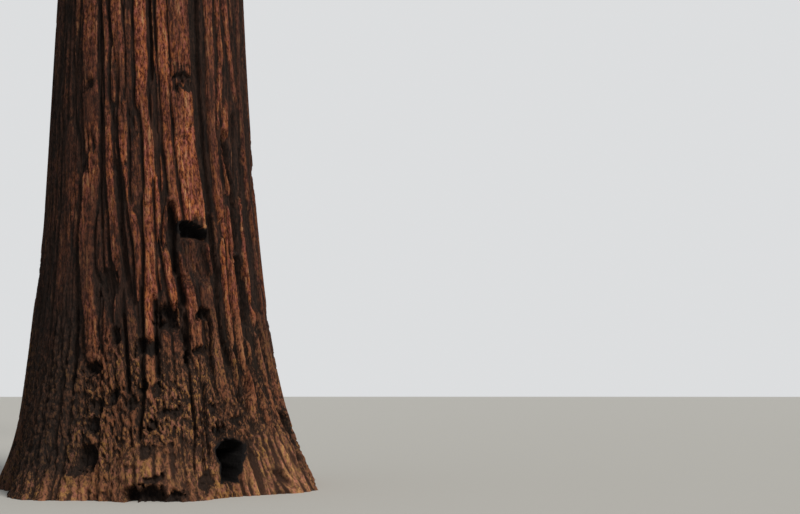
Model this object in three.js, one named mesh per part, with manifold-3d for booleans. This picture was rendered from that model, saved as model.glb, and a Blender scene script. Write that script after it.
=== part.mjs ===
// A coast redwood: one whole trunk with root flare, boughs, and masses of needle sprays.
// Every size is the living tree's, in millimetres, with +Z up and the origin under the trunk
// at ground level. The group at the end scales the whole tree evenly to MODEL_HEIGHT.
import * as THREE from "three";
import { mergeVertices } from "three/addons/utils/BufferGeometryUtils.js";
import Module from "manifold-3d";

const LIFE_HEIGHT = 90000;
const MODEL_HEIGHT = 40000;
const SCALE = MODEL_HEIGHT / LIFE_HEIGHT;
const CLEARANCE = 0.35 / SCALE; // gap between a limb or mass and what carries it
const WELD = 1e-3; // corners nearer than this are one

// Trunk: a column that thins to the tip, a slow flare up the butt and a short root flare.
const COLUMN_RADIUS = 1550;
const COLUMN_HEIGHT = 87000;
const COLUMN_POWER = 0.75;
const BUTT_FLARE = 500;
const BUTT_FLARE_HEIGHT = 7500;
const ROOT_FLARE = 550;
const ROOT_FLARE_HEIGHT = 1350;
const TRUNK_TOP = 84800;
const TRUNK_SIDES = 36;
const TRUNK_RINGS = 24;
const RING_CROWDING = 2.3; // rings stand closer together towards the ground

// Lean: the butt sweeps towards -X and the stem then runs up with a slight sway.
const SWEEP = 750;
const SWEEP_HEIGHT = 8500;
const SWAY = 160;
const SWAY_HEIGHT = 24000;
const SWAY_TURN = 1.7; // how much quicker it sways along Y than along X

// Buttress roots by the angle they face, in degrees, with valleys between them.
const BUTTRESS_ANGLES = [-18, -77, -127, 179, 127, 76, 30];
const BUTTRESS_SPREAD = 19;
const VALLEY_SHARE = 0.52; // of the root flare, in the deepest valley
const BUTTRESS_SHARE = 0.78; // of the root flare, added on a crest

// The burnt alcove in the bark, and the low cave between two buttresses.
const ALCOVE = { facing: -55, lip: 4220, foot: 3000, width: 560, depth: 380 };
const CAVE = { facing: -48, lip: 850, foot: 150, width: 430, depth: 620 };
const ARCH_SEGMENTS = 6;
const FULL_DEPTH_SHARE = 0.62; // of a hollow's height, above which it is at its full depth

// Crown: masses climb the trunk in a spiral. The lower ones stand on boughs.
const CROWN_FOOT = 32000;
const CROWN_HEAD = 82000;
const CROWN_REACH = 9400;
const CROWN_POWER = 1.8; // a higher one keeps the crown wide further up
const CROWN_ROUNDING = 0.9;
const FOOT_SHARE = 0.72; // the lowest limbs' share of the reach
const FOOT_RISE = 0.15; // share of the crown's height over which that grows to the whole
const MASS_COUNT = 34;
const BOUGH_COUNT = 15;
const GOLDEN_ANGLE = Math.PI * (3 - Math.sqrt(5));
const FIRST_HEADING = 0.35;
const HEADING_SCATTER = 0.3;
const REACH_SCATTER = [0.84, 1.05];

// A limb's slope where it leaves the trunk, and how far it sags, at the crown's foot and head.
const RISE = [-0.1, 0.75];
const RISE_SCATTER = 0.16;
const SAG = [0.3, 0.12];

// Limbs start inside the trunk, are cut off at the bark and drawn clear of it.
const ROOTED_SHARE = -0.06;
const BOUGH_SHARE = 0.34; // of a limb's reach, where the mass takes over
const BOUGH_ROOT_RADIUS = [300, 190];
const BOUGH_TIP_RADIUS = 140;
const BOUGH_SIDES = 6;
const BOUGH_STEPS = 2;
const STEEP = 0.95; // rise of a limb's direction, above which its sides are set out from +X

// A mass: one stem and the sprays along it, all inside the mass's own space.
const STEM_RADIUS = [150, 105];
const STEM_TIP_RADIUS = 60;
const STEM_SIDES = 3;
const STEM_STEPS = 3;
const STEM_SHARE = 0.88; // of a limb's reach, where the stem ends
const HEART_SHARE = { onBough: 0.64, onTrunk: 0.58 }; // of a limb's reach, where a mass has its middle
const CELL_MARGIN = 60; // half the least gap between two masses
const TRUNK_ROOM = 120;
const BOUGH_ROOM = 160;

// The ways a spray leaves its stem, as spreads of its forward, sideways and upward parts.
const SPRAY_COUNT = 10;
const REACHING = { forward: [0.1, 1], sideways: [0.5, 1], upward: [-0.4, 0.6] };
const HANGING = { forward: [0.1, 1], sideways: [0, 1], upward: [-1.5, -0.5] };
const LEADING = { forward: [1, 2], sideways: [-0.6, 0.6], upward: [-0.3, 0.3] };
const LEADING_SHARE = 0.97; // of the stem, where the leading spray has its root
const ROLL = 1.3; // how far a blade may turn from lying flat, either way
const TRIES = 14;
const SHRINK = 0.95; // each new try for a place is this much shorter

// A spray of needles: a square twig that widens into a toothed blade.
const SPRAY_LENGTH = [5200, 3000];
const SPRAY_SLIMNESS = 0.4;
const SPRAY_THICKNESS = 120;
const TWIG_RADIUS = 28;
const TEETH = [
  [0.26, 0.4],
  [0.4, 0.24],
  [0.55, 0.5],
]; // one side of the blade, in shares of its length and width
const BLADE_MIDDLE = 0.45;

// The leader: sprays that climb in a spiral round a stem that carries on from the trunk's tip.
const LEADER_COUNT = 16;
const LEADER_RADIUS = [75, 25];
const LEADER_SPAN = [0.04, 0.9]; // shares of the stem between which the sprays have their roots
const LEADER_SPRAY = [2500, 900];
const LEADER_RISE = [0, 1.3];
const LEADER_SCATTER = 0.3;

const BRANCH_SEED = 11;
const MASS_SEED = 5;
const MASS_SEED_STEP = 7919;
const LEADER_SEED = 4242;

const BARK = { color: 0x7a4632, roughness: 0.95 };
const LIMB = { color: 0x5e4334, roughness: 0.9 };
const NEEDLES = { color: 0x35502b, roughness: 0.8 };

const wasm = await Module();
wasm.setup();

const { degToRad, lerp } = THREE.MathUtils;
const clamp01 = (value) => Math.min(1, Math.max(0, value));
const up = new THREE.Vector3(0, 0, 1);
const heading = (angle, rise = 0) => new THREE.Vector3(Math.cos(angle), Math.sin(angle), rise);

// A seeded source of numbers from 0 to 1, the same on every run.
function seeded(seed) {
  let state = seed;
  return () => {
    state = (state * 1664525 + 1013904223) % 4294967296;
    return state / 4294967296;
  };
}

// The outer radius of the bark at a height, without the buttresses.
function trunkRadius(z) {
  const column = COLUMN_RADIUS * Math.pow(Math.max(0, 1 - z / COLUMN_HEIGHT), COLUMN_POWER);
  const butt = BUTT_FLARE * Math.exp(-z / BUTT_FLARE_HEIGHT);
  return column + butt + ROOT_FLARE * Math.exp(-z / ROOT_FLARE_HEIGHT);
}

// The centre of the trunk at a height.
function trunkCentre(z) {
  const turn = z / SWAY_HEIGHT;
  const sway = SWAY * clamp01(turn);
  const sweep = SWEEP * (1 - Math.exp(-z / SWEEP_HEIGHT));
  return new THREE.Vector3(sway * Math.sin(turn) - sweep, sway * Math.sin(SWAY_TURN * turn), z);
}

// The bark's radius with the buttresses: each is a bell-shaped lobe of the root flare.
function barkRadius(angle, z) {
  const crests = BUTTRESS_ANGLES.map((facing) => {
    const turn = angle - degToRad(facing);
    const off = Math.atan2(Math.sin(turn), Math.cos(turn)) / degToRad(BUTTRESS_SPREAD);
    return Math.exp(-off * off);
  });
  const lobe = VALLEY_SHARE + BUTTRESS_SHARE * Math.max(...crests);
  return trunkRadius(z) + ROOT_FLARE * Math.exp(-z / ROOT_FLARE_HEIGHT) * (lobe - 1);
}

function weld(geometry) {
  geometry.deleteAttribute("uv");
  geometry.deleteAttribute("normal");
  return mergeVertices(geometry, WELD);
}

// A closed tube with flat ends: place(angle, share) gives each point of its wall, and
// middle(share) the middle of each end.
function tube(sides, steps, place, middle) {
  const cylinder = weld(new THREE.CylinderGeometry(1, 1, 1, sides, steps).rotateX(Math.PI / 2));
  const position = cylinder.getAttribute("position");
  for (let i = 0; i < position.count; i++) {
    const [x, y, z] = [position.getX(i), position.getY(i), position.getZ(i)];
    const share = z + 0.5;
    const onAxis = Math.hypot(x, y) < WELD;
    const point = onAxis ? middle(share) : place(Math.atan2(y, x), share);
    position.setXYZ(i, point.x, point.y, point.z);
  }
  return cylinder;
}

// A limb along a curve, tapering from one radius to another.
function limb(curve, rootRadius, tipRadius, sides, steps) {
  const place = (angle, share) => {
    const along = curve.getTangent(share);
    const level = Math.abs(along.z) > STEEP ? new THREE.Vector3(1, 0, 0) : up;
    const side = new THREE.Vector3().crossVectors(along, level).normalize();
    const over = new THREE.Vector3().crossVectors(along, side);
    const radius = lerp(rootRadius, tipRadius, share);
    return curve
      .getPoint(share)
      .addScaledVector(side, radius * Math.cos(angle))
      .addScaledVector(over, radius * Math.sin(angle));
  };
  return tube(sides, steps, place, (share) => curve.getPoint(share));
}

function solid(geometry) {
  return new wasm.Manifold(
    new wasm.Mesh({
      numProp: 3,
      vertProperties: new Float32Array(geometry.getAttribute("position").array),
      triVerts: new Uint32Array(geometry.index.array),
    }),
  );
}

function geometryOf(manifold) {
  const mesh = manifold.getMesh();
  const geometry = new THREE.BufferGeometry();
  geometry.setAttribute("position", new THREE.BufferAttribute(mesh.vertProperties, 3));
  geometry.setIndex(new THREE.BufferAttribute(mesh.triVerts, 1));
  return geometry;
}

// Joins solids and keeps the largest body, so that no loose scrap or sealed hollow is left.
function fused(solids) {
  const bodies = wasm.Manifold.union(solids).decompose();
  return bodies.reduce((best, body) => (body.volume() > best.volume() ? body : best));
}

// A hollow that is deepest under its arched lip and runs out to nothing at its foot.
function hollow({ facing, lip, foot, width, depth }) {
  const height = lip - foot;
  const spring = height - width / 2; // where the arch starts
  const arch = new THREE.Shape();
  arch.moveTo(-width / 2, 0);
  arch.lineTo(width / 2, 0);
  arch.lineTo(width / 2, spring);
  arch.absarc(0, spring, width / 2, 0, Math.PI, false);
  const options = { depth: 1, bevelEnabled: false, curveSegments: ARCH_SEGMENTS };
  const block = weld(new THREE.ExtrudeGeometry(arch, options));
  const angle = degToRad(facing);
  const position = block.getAttribute("position");
  for (let i = 0; i < position.count; i++) {
    const [across, rise, outer] = [position.getX(i), position.getY(i), position.getZ(i)];
    const z = foot + rise;
    const surface = barkRadius(angle, z);
    const inner = surface - depth * clamp01(rise / (FULL_DEPTH_SHARE * height));
    const point = trunkCentre(z)
      .addScaledVector(heading(angle), lerp(inner, surface + depth, outer))
      .addScaledVector(heading(angle + Math.PI / 2), across);
    position.setXYZ(i, point.x, point.y, point.z);
  }
  return solid(block);
}

function trunk() {
  const height = (share) => TRUNK_TOP * Math.pow(share, RING_CROWDING);
  const place = (angle, share) => {
    const z = height(share);
    return trunkCentre(z).addScaledVector(heading(angle), barkRadius(angle, z));
  };
  const stem = tube(TRUNK_SIDES, TRUNK_RINGS, place, (share) => trunkCentre(height(share)));
  return solid(stem).subtract(hollow(ALCOVE)).subtract(hollow(CAVE));
}

// How far the crown reaches from the trunk at a height.
function crownReach(z) {
  const share = clamp01((z - CROWN_FOOT) / (LIFE_HEIGHT - CROWN_FOOT));
  const foot = lerp(FOOT_SHARE, 1, clamp01(share / FOOT_RISE));
  return CROWN_REACH * foot * Math.pow(1 - Math.pow(share, CROWN_POWER), CROWN_ROUNDING);
}

// The curve that a bough and the stem beyond it follow: low ones droop and high ones rise.
function branchOf(index) {
  const random = seeded(index + BRANCH_SEED);
  const share = index / (MASS_COUNT - 1);
  const z = lerp(CROWN_FOOT, CROWN_HEAD, share);
  const angle = index * GOLDEN_ANGLE + FIRST_HEADING + HEADING_SCATTER * (random() - 0.5);
  const outwards = heading(angle);
  const start = trunkRadius(z);
  const reach = crownReach(z) * lerp(...REACH_SCATTER, random()) - start;
  const rise = lerp(...RISE, share) + RISE_SCATTER * (random() - 0.5);
  const sag = lerp(...SAG, share);
  const root = trunkCentre(z).addScaledVector(outwards, start);
  const at = (along) =>
    root
      .clone()
      .addScaledVector(outwards, reach * along)
      .addScaledVector(up, reach * (rise * along - sag * along * along));
  const direction = (along) => heading(angle, rise - 2 * sag * along).normalize();
  return { index, share, outwards, at, direction, onBough: index < BOUGH_COUNT };
}

// The stretch of a branch from one share of its reach to another.
function stretch(branch, from, to) {
  return {
    getPoint: (share) => branch.at(lerp(from, to, share)),
    getTangent: (share) => branch.direction(lerp(from, to, share)),
  };
}

const trunkSolid = trunk();
const branches = Array.from({ length: MASS_COUNT }, (_, index) => branchOf(index));
const boughs = branches
  .filter((branch) => branch.onBough)
  .map((branch) => ({
    curve: stretch(branch, ROOTED_SHARE, BOUGH_SHARE),
    rootRadius: lerp(...BOUGH_ROOT_RADIUS, branch.index / BOUGH_COUNT),
  }));
const leaderFoot = trunkCentre(TRUNK_TOP).addScaledVector(up, CLEARANCE);
const leaderHead = new THREE.Vector3(leaderFoot.x, leaderFoot.y, LIFE_HEIGHT);
const leaderStem = new THREE.LineCurve3(leaderFoot, leaderHead);

// The middle of each mass's space, the leader's last.
const hearts = [
  ...branches.map((branch) => branch.at(branch.onBough ? HEART_SHARE.onBough : HEART_SHARE.onTrunk)),
  leaderStem.getPoint(0.5),
];

// What is left of a limb outside the trunk, drawn clear of it.
function seated(manifold, branch) {
  const gap = branch.outwards.clone().multiplyScalar(CLEARANCE);
  return manifold.subtract(trunkSolid).translate(gap.toArray());
}

function bough(branch) {
  const { curve, rootRadius } = boughs[branch.index];
  return seated(solid(limb(curve, rootRadius, BOUGH_TIP_RADIUS, BOUGH_SIDES, BOUGH_STEPS)), branch);
}

// A spray from the middle of the stem that carries it: flat is the way its blade faces.
function spray(root, along, flat, length) {
  const side = new THREE.Vector3().crossVectors(along, flat).normalize();
  const over = new THREE.Vector3().crossVectors(side, along).normalize();
  const points = [];
  const corner = (ahead, across, rise) => {
    const point = root.clone().addScaledVector(along, ahead * length);
    return points.push(point.addScaledVector(side, across).addScaledVector(over, rise)) - 1;
  };
  const tip = corner(1, 0, 0);
  const ridges = [1, -1].map((rise) => ({
    root: corner(0, 0, rise * TWIG_RADIUS),
    middle: corner(BLADE_MIDDLE, 0, (rise * SPRAY_THICKNESS) / 2),
  }));
  const sides = [1, -1].map((hand) => {
    const width = hand * SPRAY_SLIMNESS * length;
    const teeth = TEETH.map(([ahead, across]) => corner(ahead, across * width, 0));
    return [corner(0, hand * TWIG_RADIUS, 0), ...teeth, tip];
  });
  const [[left, right], [top, under]] = [sides, ridges];
  const faces = [top.root, right[0], left[0], under.root, left[0], right[0]];
  ridges.forEach((ridge, below) => {
    sides.forEach((outline, across) => {
      const face = (a, b, c) => faces.push(a, ...(below === across ? [b, c] : [c, b]));
      face(ridge.root, outline[0], ridge.middle);
      outline.slice(1).forEach((end, i) => face(ridge.middle, outline[i], end));
    });
  });
  const geometry = new THREE.BufferGeometry();
  geometry.setAttribute("position", new THREE.Float32BufferAttribute(points.flatMap((p) => p.toArray()), 3));
  geometry.setIndex(faces);
  return { geometry, points };
}

// Whether a point is in a mass's own space, nearer its heart than any other's.
function inCell(point, index) {
  const own = point.distanceToSquared(hearts[index]);
  return hearts.every((heart, other) => {
    if (other === index) return true;
    const gap = heart.distanceTo(hearts[index]);
    return (point.distanceToSquared(heart) - own) / (2 * gap) > CELL_MARGIN;
  });
}

function clearOfTrunk(point) {
  if (point.z > TRUNK_TOP) return true;
  const centre = trunkCentre(point.z);
  return Math.hypot(point.x - centre.x, point.y - centre.y) > trunkRadius(point.z) + TRUNK_ROOM;
}

function clearOfBoughs(point) {
  return boughs.every(({ curve, rootRadius }) =>
    [0, 0.5].every((start) => {
      const chord = new THREE.Line3(curve.getPoint(start), curve.getPoint(start + 0.5));
      const nearest = chord.closestPointToPoint(point, true, new THREE.Vector3());
      return nearest.distanceTo(point) > rootRadius + BOUGH_ROOM;
    }),
  );
}

// Whether a spray's corners and its middle keep to a mass's space and clear of the limbs.
function fits(points, index) {
  const middle = new THREE.Vector3();
  for (const point of points) middle.addScaledVector(point, 1 / points.length);
  return [...points, middle].every(
    (point) => inCell(point, index) && clearOfTrunk(point) && clearOfBoughs(point),
  );
}

// Grows sprays on a stem: place() draws one, and it is tried again, a little shorter, until it
// keeps to its mass's space and misses the sprays that are there.
function sprayGrower(index, seed, solids) {
  const random = seeded(seed);
  const spread = (low, high) => lerp(low, high, random());
  const blades = [];
  const add = ({ root, along }, length) => {
    const side = new THREE.Vector3().crossVectors(along, up).normalize();
    const flat = new THREE.Vector3().crossVectors(side, along).applyAxisAngle(along, spread(-ROLL, ROLL));
    const { geometry, points } = spray(root, along, flat, length);
    if (!fits(points, index)) return false;
    const blade = solid(geometry);
    if (blades.some((other) => other.intersect(blade).volume() > 0)) return false;
    blades.push(blade);
    solids.push(blade);
    return true;
  };
  const grow = (length, place) => {
    for (let tries = 0; tries < TRIES; tries++) {
      if (add(place(), length * SHRINK ** tries)) return;
    }
  };
  return { grow, spread };
}

// A mass: sprays reach out to both sides of a stem in turn or hang from it, and one leads on.
function mass(branch) {
  const curve = stretch(branch, branch.onBough ? BOUGH_SHARE : ROOTED_SHARE, STEM_SHARE);
  const stemRadius = lerp(...STEM_RADIUS, branch.share);
  const solids = [solid(limb(curve, stemRadius, STEM_TIP_RADIUS, STEM_SIDES, STEM_STEPS))];
  const seed = branch.index * MASS_SEED_STEP + MASS_SEED;
  const { grow, spread } = sprayGrower(branch.index, seed, solids);
  const sideways = new THREE.Vector3().crossVectors(up, branch.outwards);
  const length = lerp(...SPRAY_LENGTH, branch.share);
  const place = (at, hand, way) => ({
    root: curve.getPoint(at),
    along: curve
      .getTangent(at)
      .multiplyScalar(spread(...way.forward))
      .addScaledVector(sideways, hand * spread(...way.sideways))
      .addScaledVector(up, spread(...way.upward))
      .normalize(),
  });
  for (let turn = 0; turn < SPRAY_COUNT - 1; turn++) {
    const hand = turn % 2 ? 1 : -1;
    const way = turn % 4 > 1 ? HANGING : REACHING;
    grow(length, () => place((turn + spread(0, 1)) / SPRAY_COUNT, hand, way));
  }
  grow(length, () => place(LEADING_SHARE, 1, LEADING));
  const joined = fused(solids);
  if (!branch.onBough) return seated(joined, branch);
  return joined.translate(branch.direction(BOUGH_SHARE).multiplyScalar(2 * CLEARANCE).toArray());
}

function leader() {
  const solids = [solid(limb(leaderStem, ...LEADER_RADIUS, STEM_SIDES, 1))];
  const { grow, spread } = sprayGrower(MASS_COUNT, LEADER_SEED, solids);
  for (let turn = 0; turn < LEADER_COUNT; turn++) {
    const share = turn / LEADER_COUNT;
    const root = leaderStem.getPoint(lerp(...LEADER_SPAN, share));
    grow(lerp(...LEADER_SPRAY, share), () => {
      const angle = turn * GOLDEN_ANGLE + spread(-LEADER_SCATTER, LEADER_SCATTER);
      return { root, along: heading(angle, lerp(...LEADER_RISE, share)).normalize() };
    });
  }
  return fused(solids);
}

const tree = new THREE.Group();
tree.scale.setScalar(SCALE);

function add(name, manifold, finish) {
  const mesh = new THREE.Mesh(
    geometryOf(manifold),
    new THREE.MeshStandardMaterial({ ...finish, metalness: 0 }),
  );
  mesh.name = name;
  tree.add(mesh);
}

add("trunk", trunkSolid, BARK);
for (const branch of branches) {
  const number = String(branch.index + 1).padStart(2, "0");
  if (branch.onBough) add(`bough_${number}`, bough(branch), LIMB);
  add(`foliage_${number}`, mass(branch), NEEDLES);
}
add("foliage_top", leader(), NEEDLES);

export default tree;
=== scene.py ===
import math
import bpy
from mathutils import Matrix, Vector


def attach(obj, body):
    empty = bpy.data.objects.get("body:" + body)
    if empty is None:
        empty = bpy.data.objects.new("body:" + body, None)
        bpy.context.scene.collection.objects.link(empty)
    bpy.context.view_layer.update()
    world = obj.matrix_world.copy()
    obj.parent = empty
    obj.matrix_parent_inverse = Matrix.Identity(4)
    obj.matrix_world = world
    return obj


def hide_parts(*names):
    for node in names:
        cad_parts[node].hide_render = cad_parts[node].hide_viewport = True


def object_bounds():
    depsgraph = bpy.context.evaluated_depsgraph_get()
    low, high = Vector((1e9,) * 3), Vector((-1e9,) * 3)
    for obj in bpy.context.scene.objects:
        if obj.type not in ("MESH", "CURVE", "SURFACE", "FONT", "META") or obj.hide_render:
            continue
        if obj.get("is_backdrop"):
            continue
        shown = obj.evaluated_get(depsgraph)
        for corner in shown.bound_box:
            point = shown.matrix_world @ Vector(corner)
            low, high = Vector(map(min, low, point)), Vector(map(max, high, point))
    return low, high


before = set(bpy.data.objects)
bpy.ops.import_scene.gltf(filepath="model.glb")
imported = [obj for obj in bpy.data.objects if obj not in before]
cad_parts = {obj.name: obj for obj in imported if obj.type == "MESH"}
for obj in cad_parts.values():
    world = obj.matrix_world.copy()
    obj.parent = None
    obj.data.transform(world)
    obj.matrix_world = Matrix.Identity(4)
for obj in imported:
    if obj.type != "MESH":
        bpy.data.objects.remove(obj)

from types import SimpleNamespace

import bmesh
import bpy
import numpy as np
from mathutils import Matrix, Vector
from mathutils.bvhtree import BVHTree

# A coast redwood. Sizes are the living tree's, in metres, and angles are in degrees, unless a
# comment says otherwise. SCALE brings them to the frame's own size.
CAD_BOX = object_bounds()
LIFE_HEIGHT = 90.0
MODEL_HEIGHT = 40.0
SCALE = MODEL_HEIGHT / LIFE_HEIGHT
TURN = 2 * math.pi
UP = np.array([0.0, 0.0, 1.0])

# Trunk: a column that thins to the tip, a slow flare up the butt and a short root flare.
COLUMN_RADIUS = 1.55
COLUMN_HEIGHT = 87.0
COLUMN_POWER = 0.75
BUTT_FLARE = 0.5
BUTT_FLARE_HEIGHT = 7.5
ROOT_FLARE = 0.55
ROOT_FLARE_HEIGHT = 1.35
TRUNK_TOP = 84.8
SWEEP = 0.75
SWEEP_HEIGHT = 8.5
SWAY = 0.16
SWAY_HEIGHT = 24.0
SWAY_TURN = 1.7
BUTTRESS_ANGLES = (-18, -77, -127, 179, 127, 76, 30)
BUTTRESS_SPREAD = 19
VALLEY_SHARE = 0.52
BUTTRESS_SHARE = 0.78

# The trunk's skin comes in upright staves up to a height, and in sleeves above it. A stave
# has its two facings and its steps across and up, and a sleeve its foot and its steps.
STAVE_TOP = 12.0
STAVES = (
    (-196, -124, 180, 500),
    (-124, -52, 180, 500),
    (-52, 20, 180, 500),
    (20, 92, 110, 300),
    (92, 164, 110, 300),
)
ROW_CROWDING = 1.2  # rows lie closer together near the ground
SLEEVES = (
    (12.0, 400, 120),
    (26.5, 240, 90),
    (41.0, 180, 80),
    (55.5, 140, 70),
    (70.0, 100, 60),
)

# Patterns in the bark: how many go round the trunk, how long each is, and its seed.
WANDERS = (9, 3.4, 11)
LESSER_WANDERS = (27, 0.9, 12)
PLAIN_RIDGES = (58, 3.0, 21)
RIDGE_RAGS = (200, 0.34, 31)
LUMP_WARPS = (90, 0.3, 60)
LUMP_TOPS = (14, 1, 61)
SPLINTERS = (122, 0.95, 71)
SPLITS = (60, 0.6, 72)
CHIPS = (400, 0.1, 74)
FIBRES = (420, 0.5, 76)
ROOT_FIBRES = (280, 0.7, 77)
BULGES = (5, 2.2, 81)
FINE_JAGS = (120, 0.12, 83)
LONG_JAGS = (120, 0.5, 84)
WOBBLES = (40, 0.25, 85)
WORN_PATCHES = (18, 0.8, 91)

# How the grain twists and wanders on its way down, and how deep the plain ridges are cut.
TWIST = 0.0224  # radians to the right for each metre down
WANDER = 0.05  # radians
LESSER_WANDER = 0.35  # of the main one
BARK_DEPTH = 0.058  # of the trunk's radius, from a ridge to the floor of a furrow
OUTSET = 0.05  # how far the ridges stand proud of the source's trunk
FURROW_EDGES = (0.05, 0.32)  # of a ridge's width, from its furrow's floor to its top
LOWEST_RIDGE = 0.62
PLAIN_WARMTH = 0.2
WARMTH_VARIETY = 0.6

# The side that has its own ridges: the facings between which they set in at its left and at its
# right, the heights between which they end, and how high the ones between them stand. Further
# round to the right those stand lower and are cooler in colour. Each pair that bounds one of
# these, and each pair given for shade and wear below, runs from where it is absent to where it
# is whole.
OWN_SIDE_LEFT = (-161, -149)
OWN_SIDE_RIGHT = (11, -1)
OWN_TOPS = (10.2, 8.6)
BETWEEN_HEIGHT = 0.62
BETWEEN_WARMTH = 0.22
BETWEEN_VARIETY = 0.3
OPEN_HEIGHT = 0.44
OPEN_COOLNESS = 0.12
OPEN_FACINGS = (-58, -46)

# How the main ridges are made: how ragged their sides and ends are, how their width swells, how
# far past their sides the furrows and the tint reach, and how round their tops are.
RIDGE_STEP = 0.016
RIDGE_RAG = 0.026
RAG_HALVES = (0.02, 0.08)  # ridges narrower than this have plainer sides
ENDS_RAG = 0.4
SWELL_LENGTH = 0.9
SWELL_LEAST = 0.92
SWELL_MOST = 0.16
FURROW_SIDES = (0.085, 0.03)
FURROW_CUT = (0.9, 0.7)  # low down and high up
FURROW_HEIGHTS = (5, 7)
RIDGE_SIDES = (0.02, -0.014)
RIDGE_ROUNDING = 0.12
TINT_STEP = (0.1, 0.35)
TINT_LEAD = 0.2
TINT_PAST = 0.03

# How a path weaves, and how far past its end and inside it the path fades.
WEAVE_LENGTH = 0.42
PAST_END = 0.1
INSIDE_END = 0.15
RIDGE_SEED = 40
RIDGE_SWELL_SEED = 80
GROOVE_SEED = 120

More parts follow.
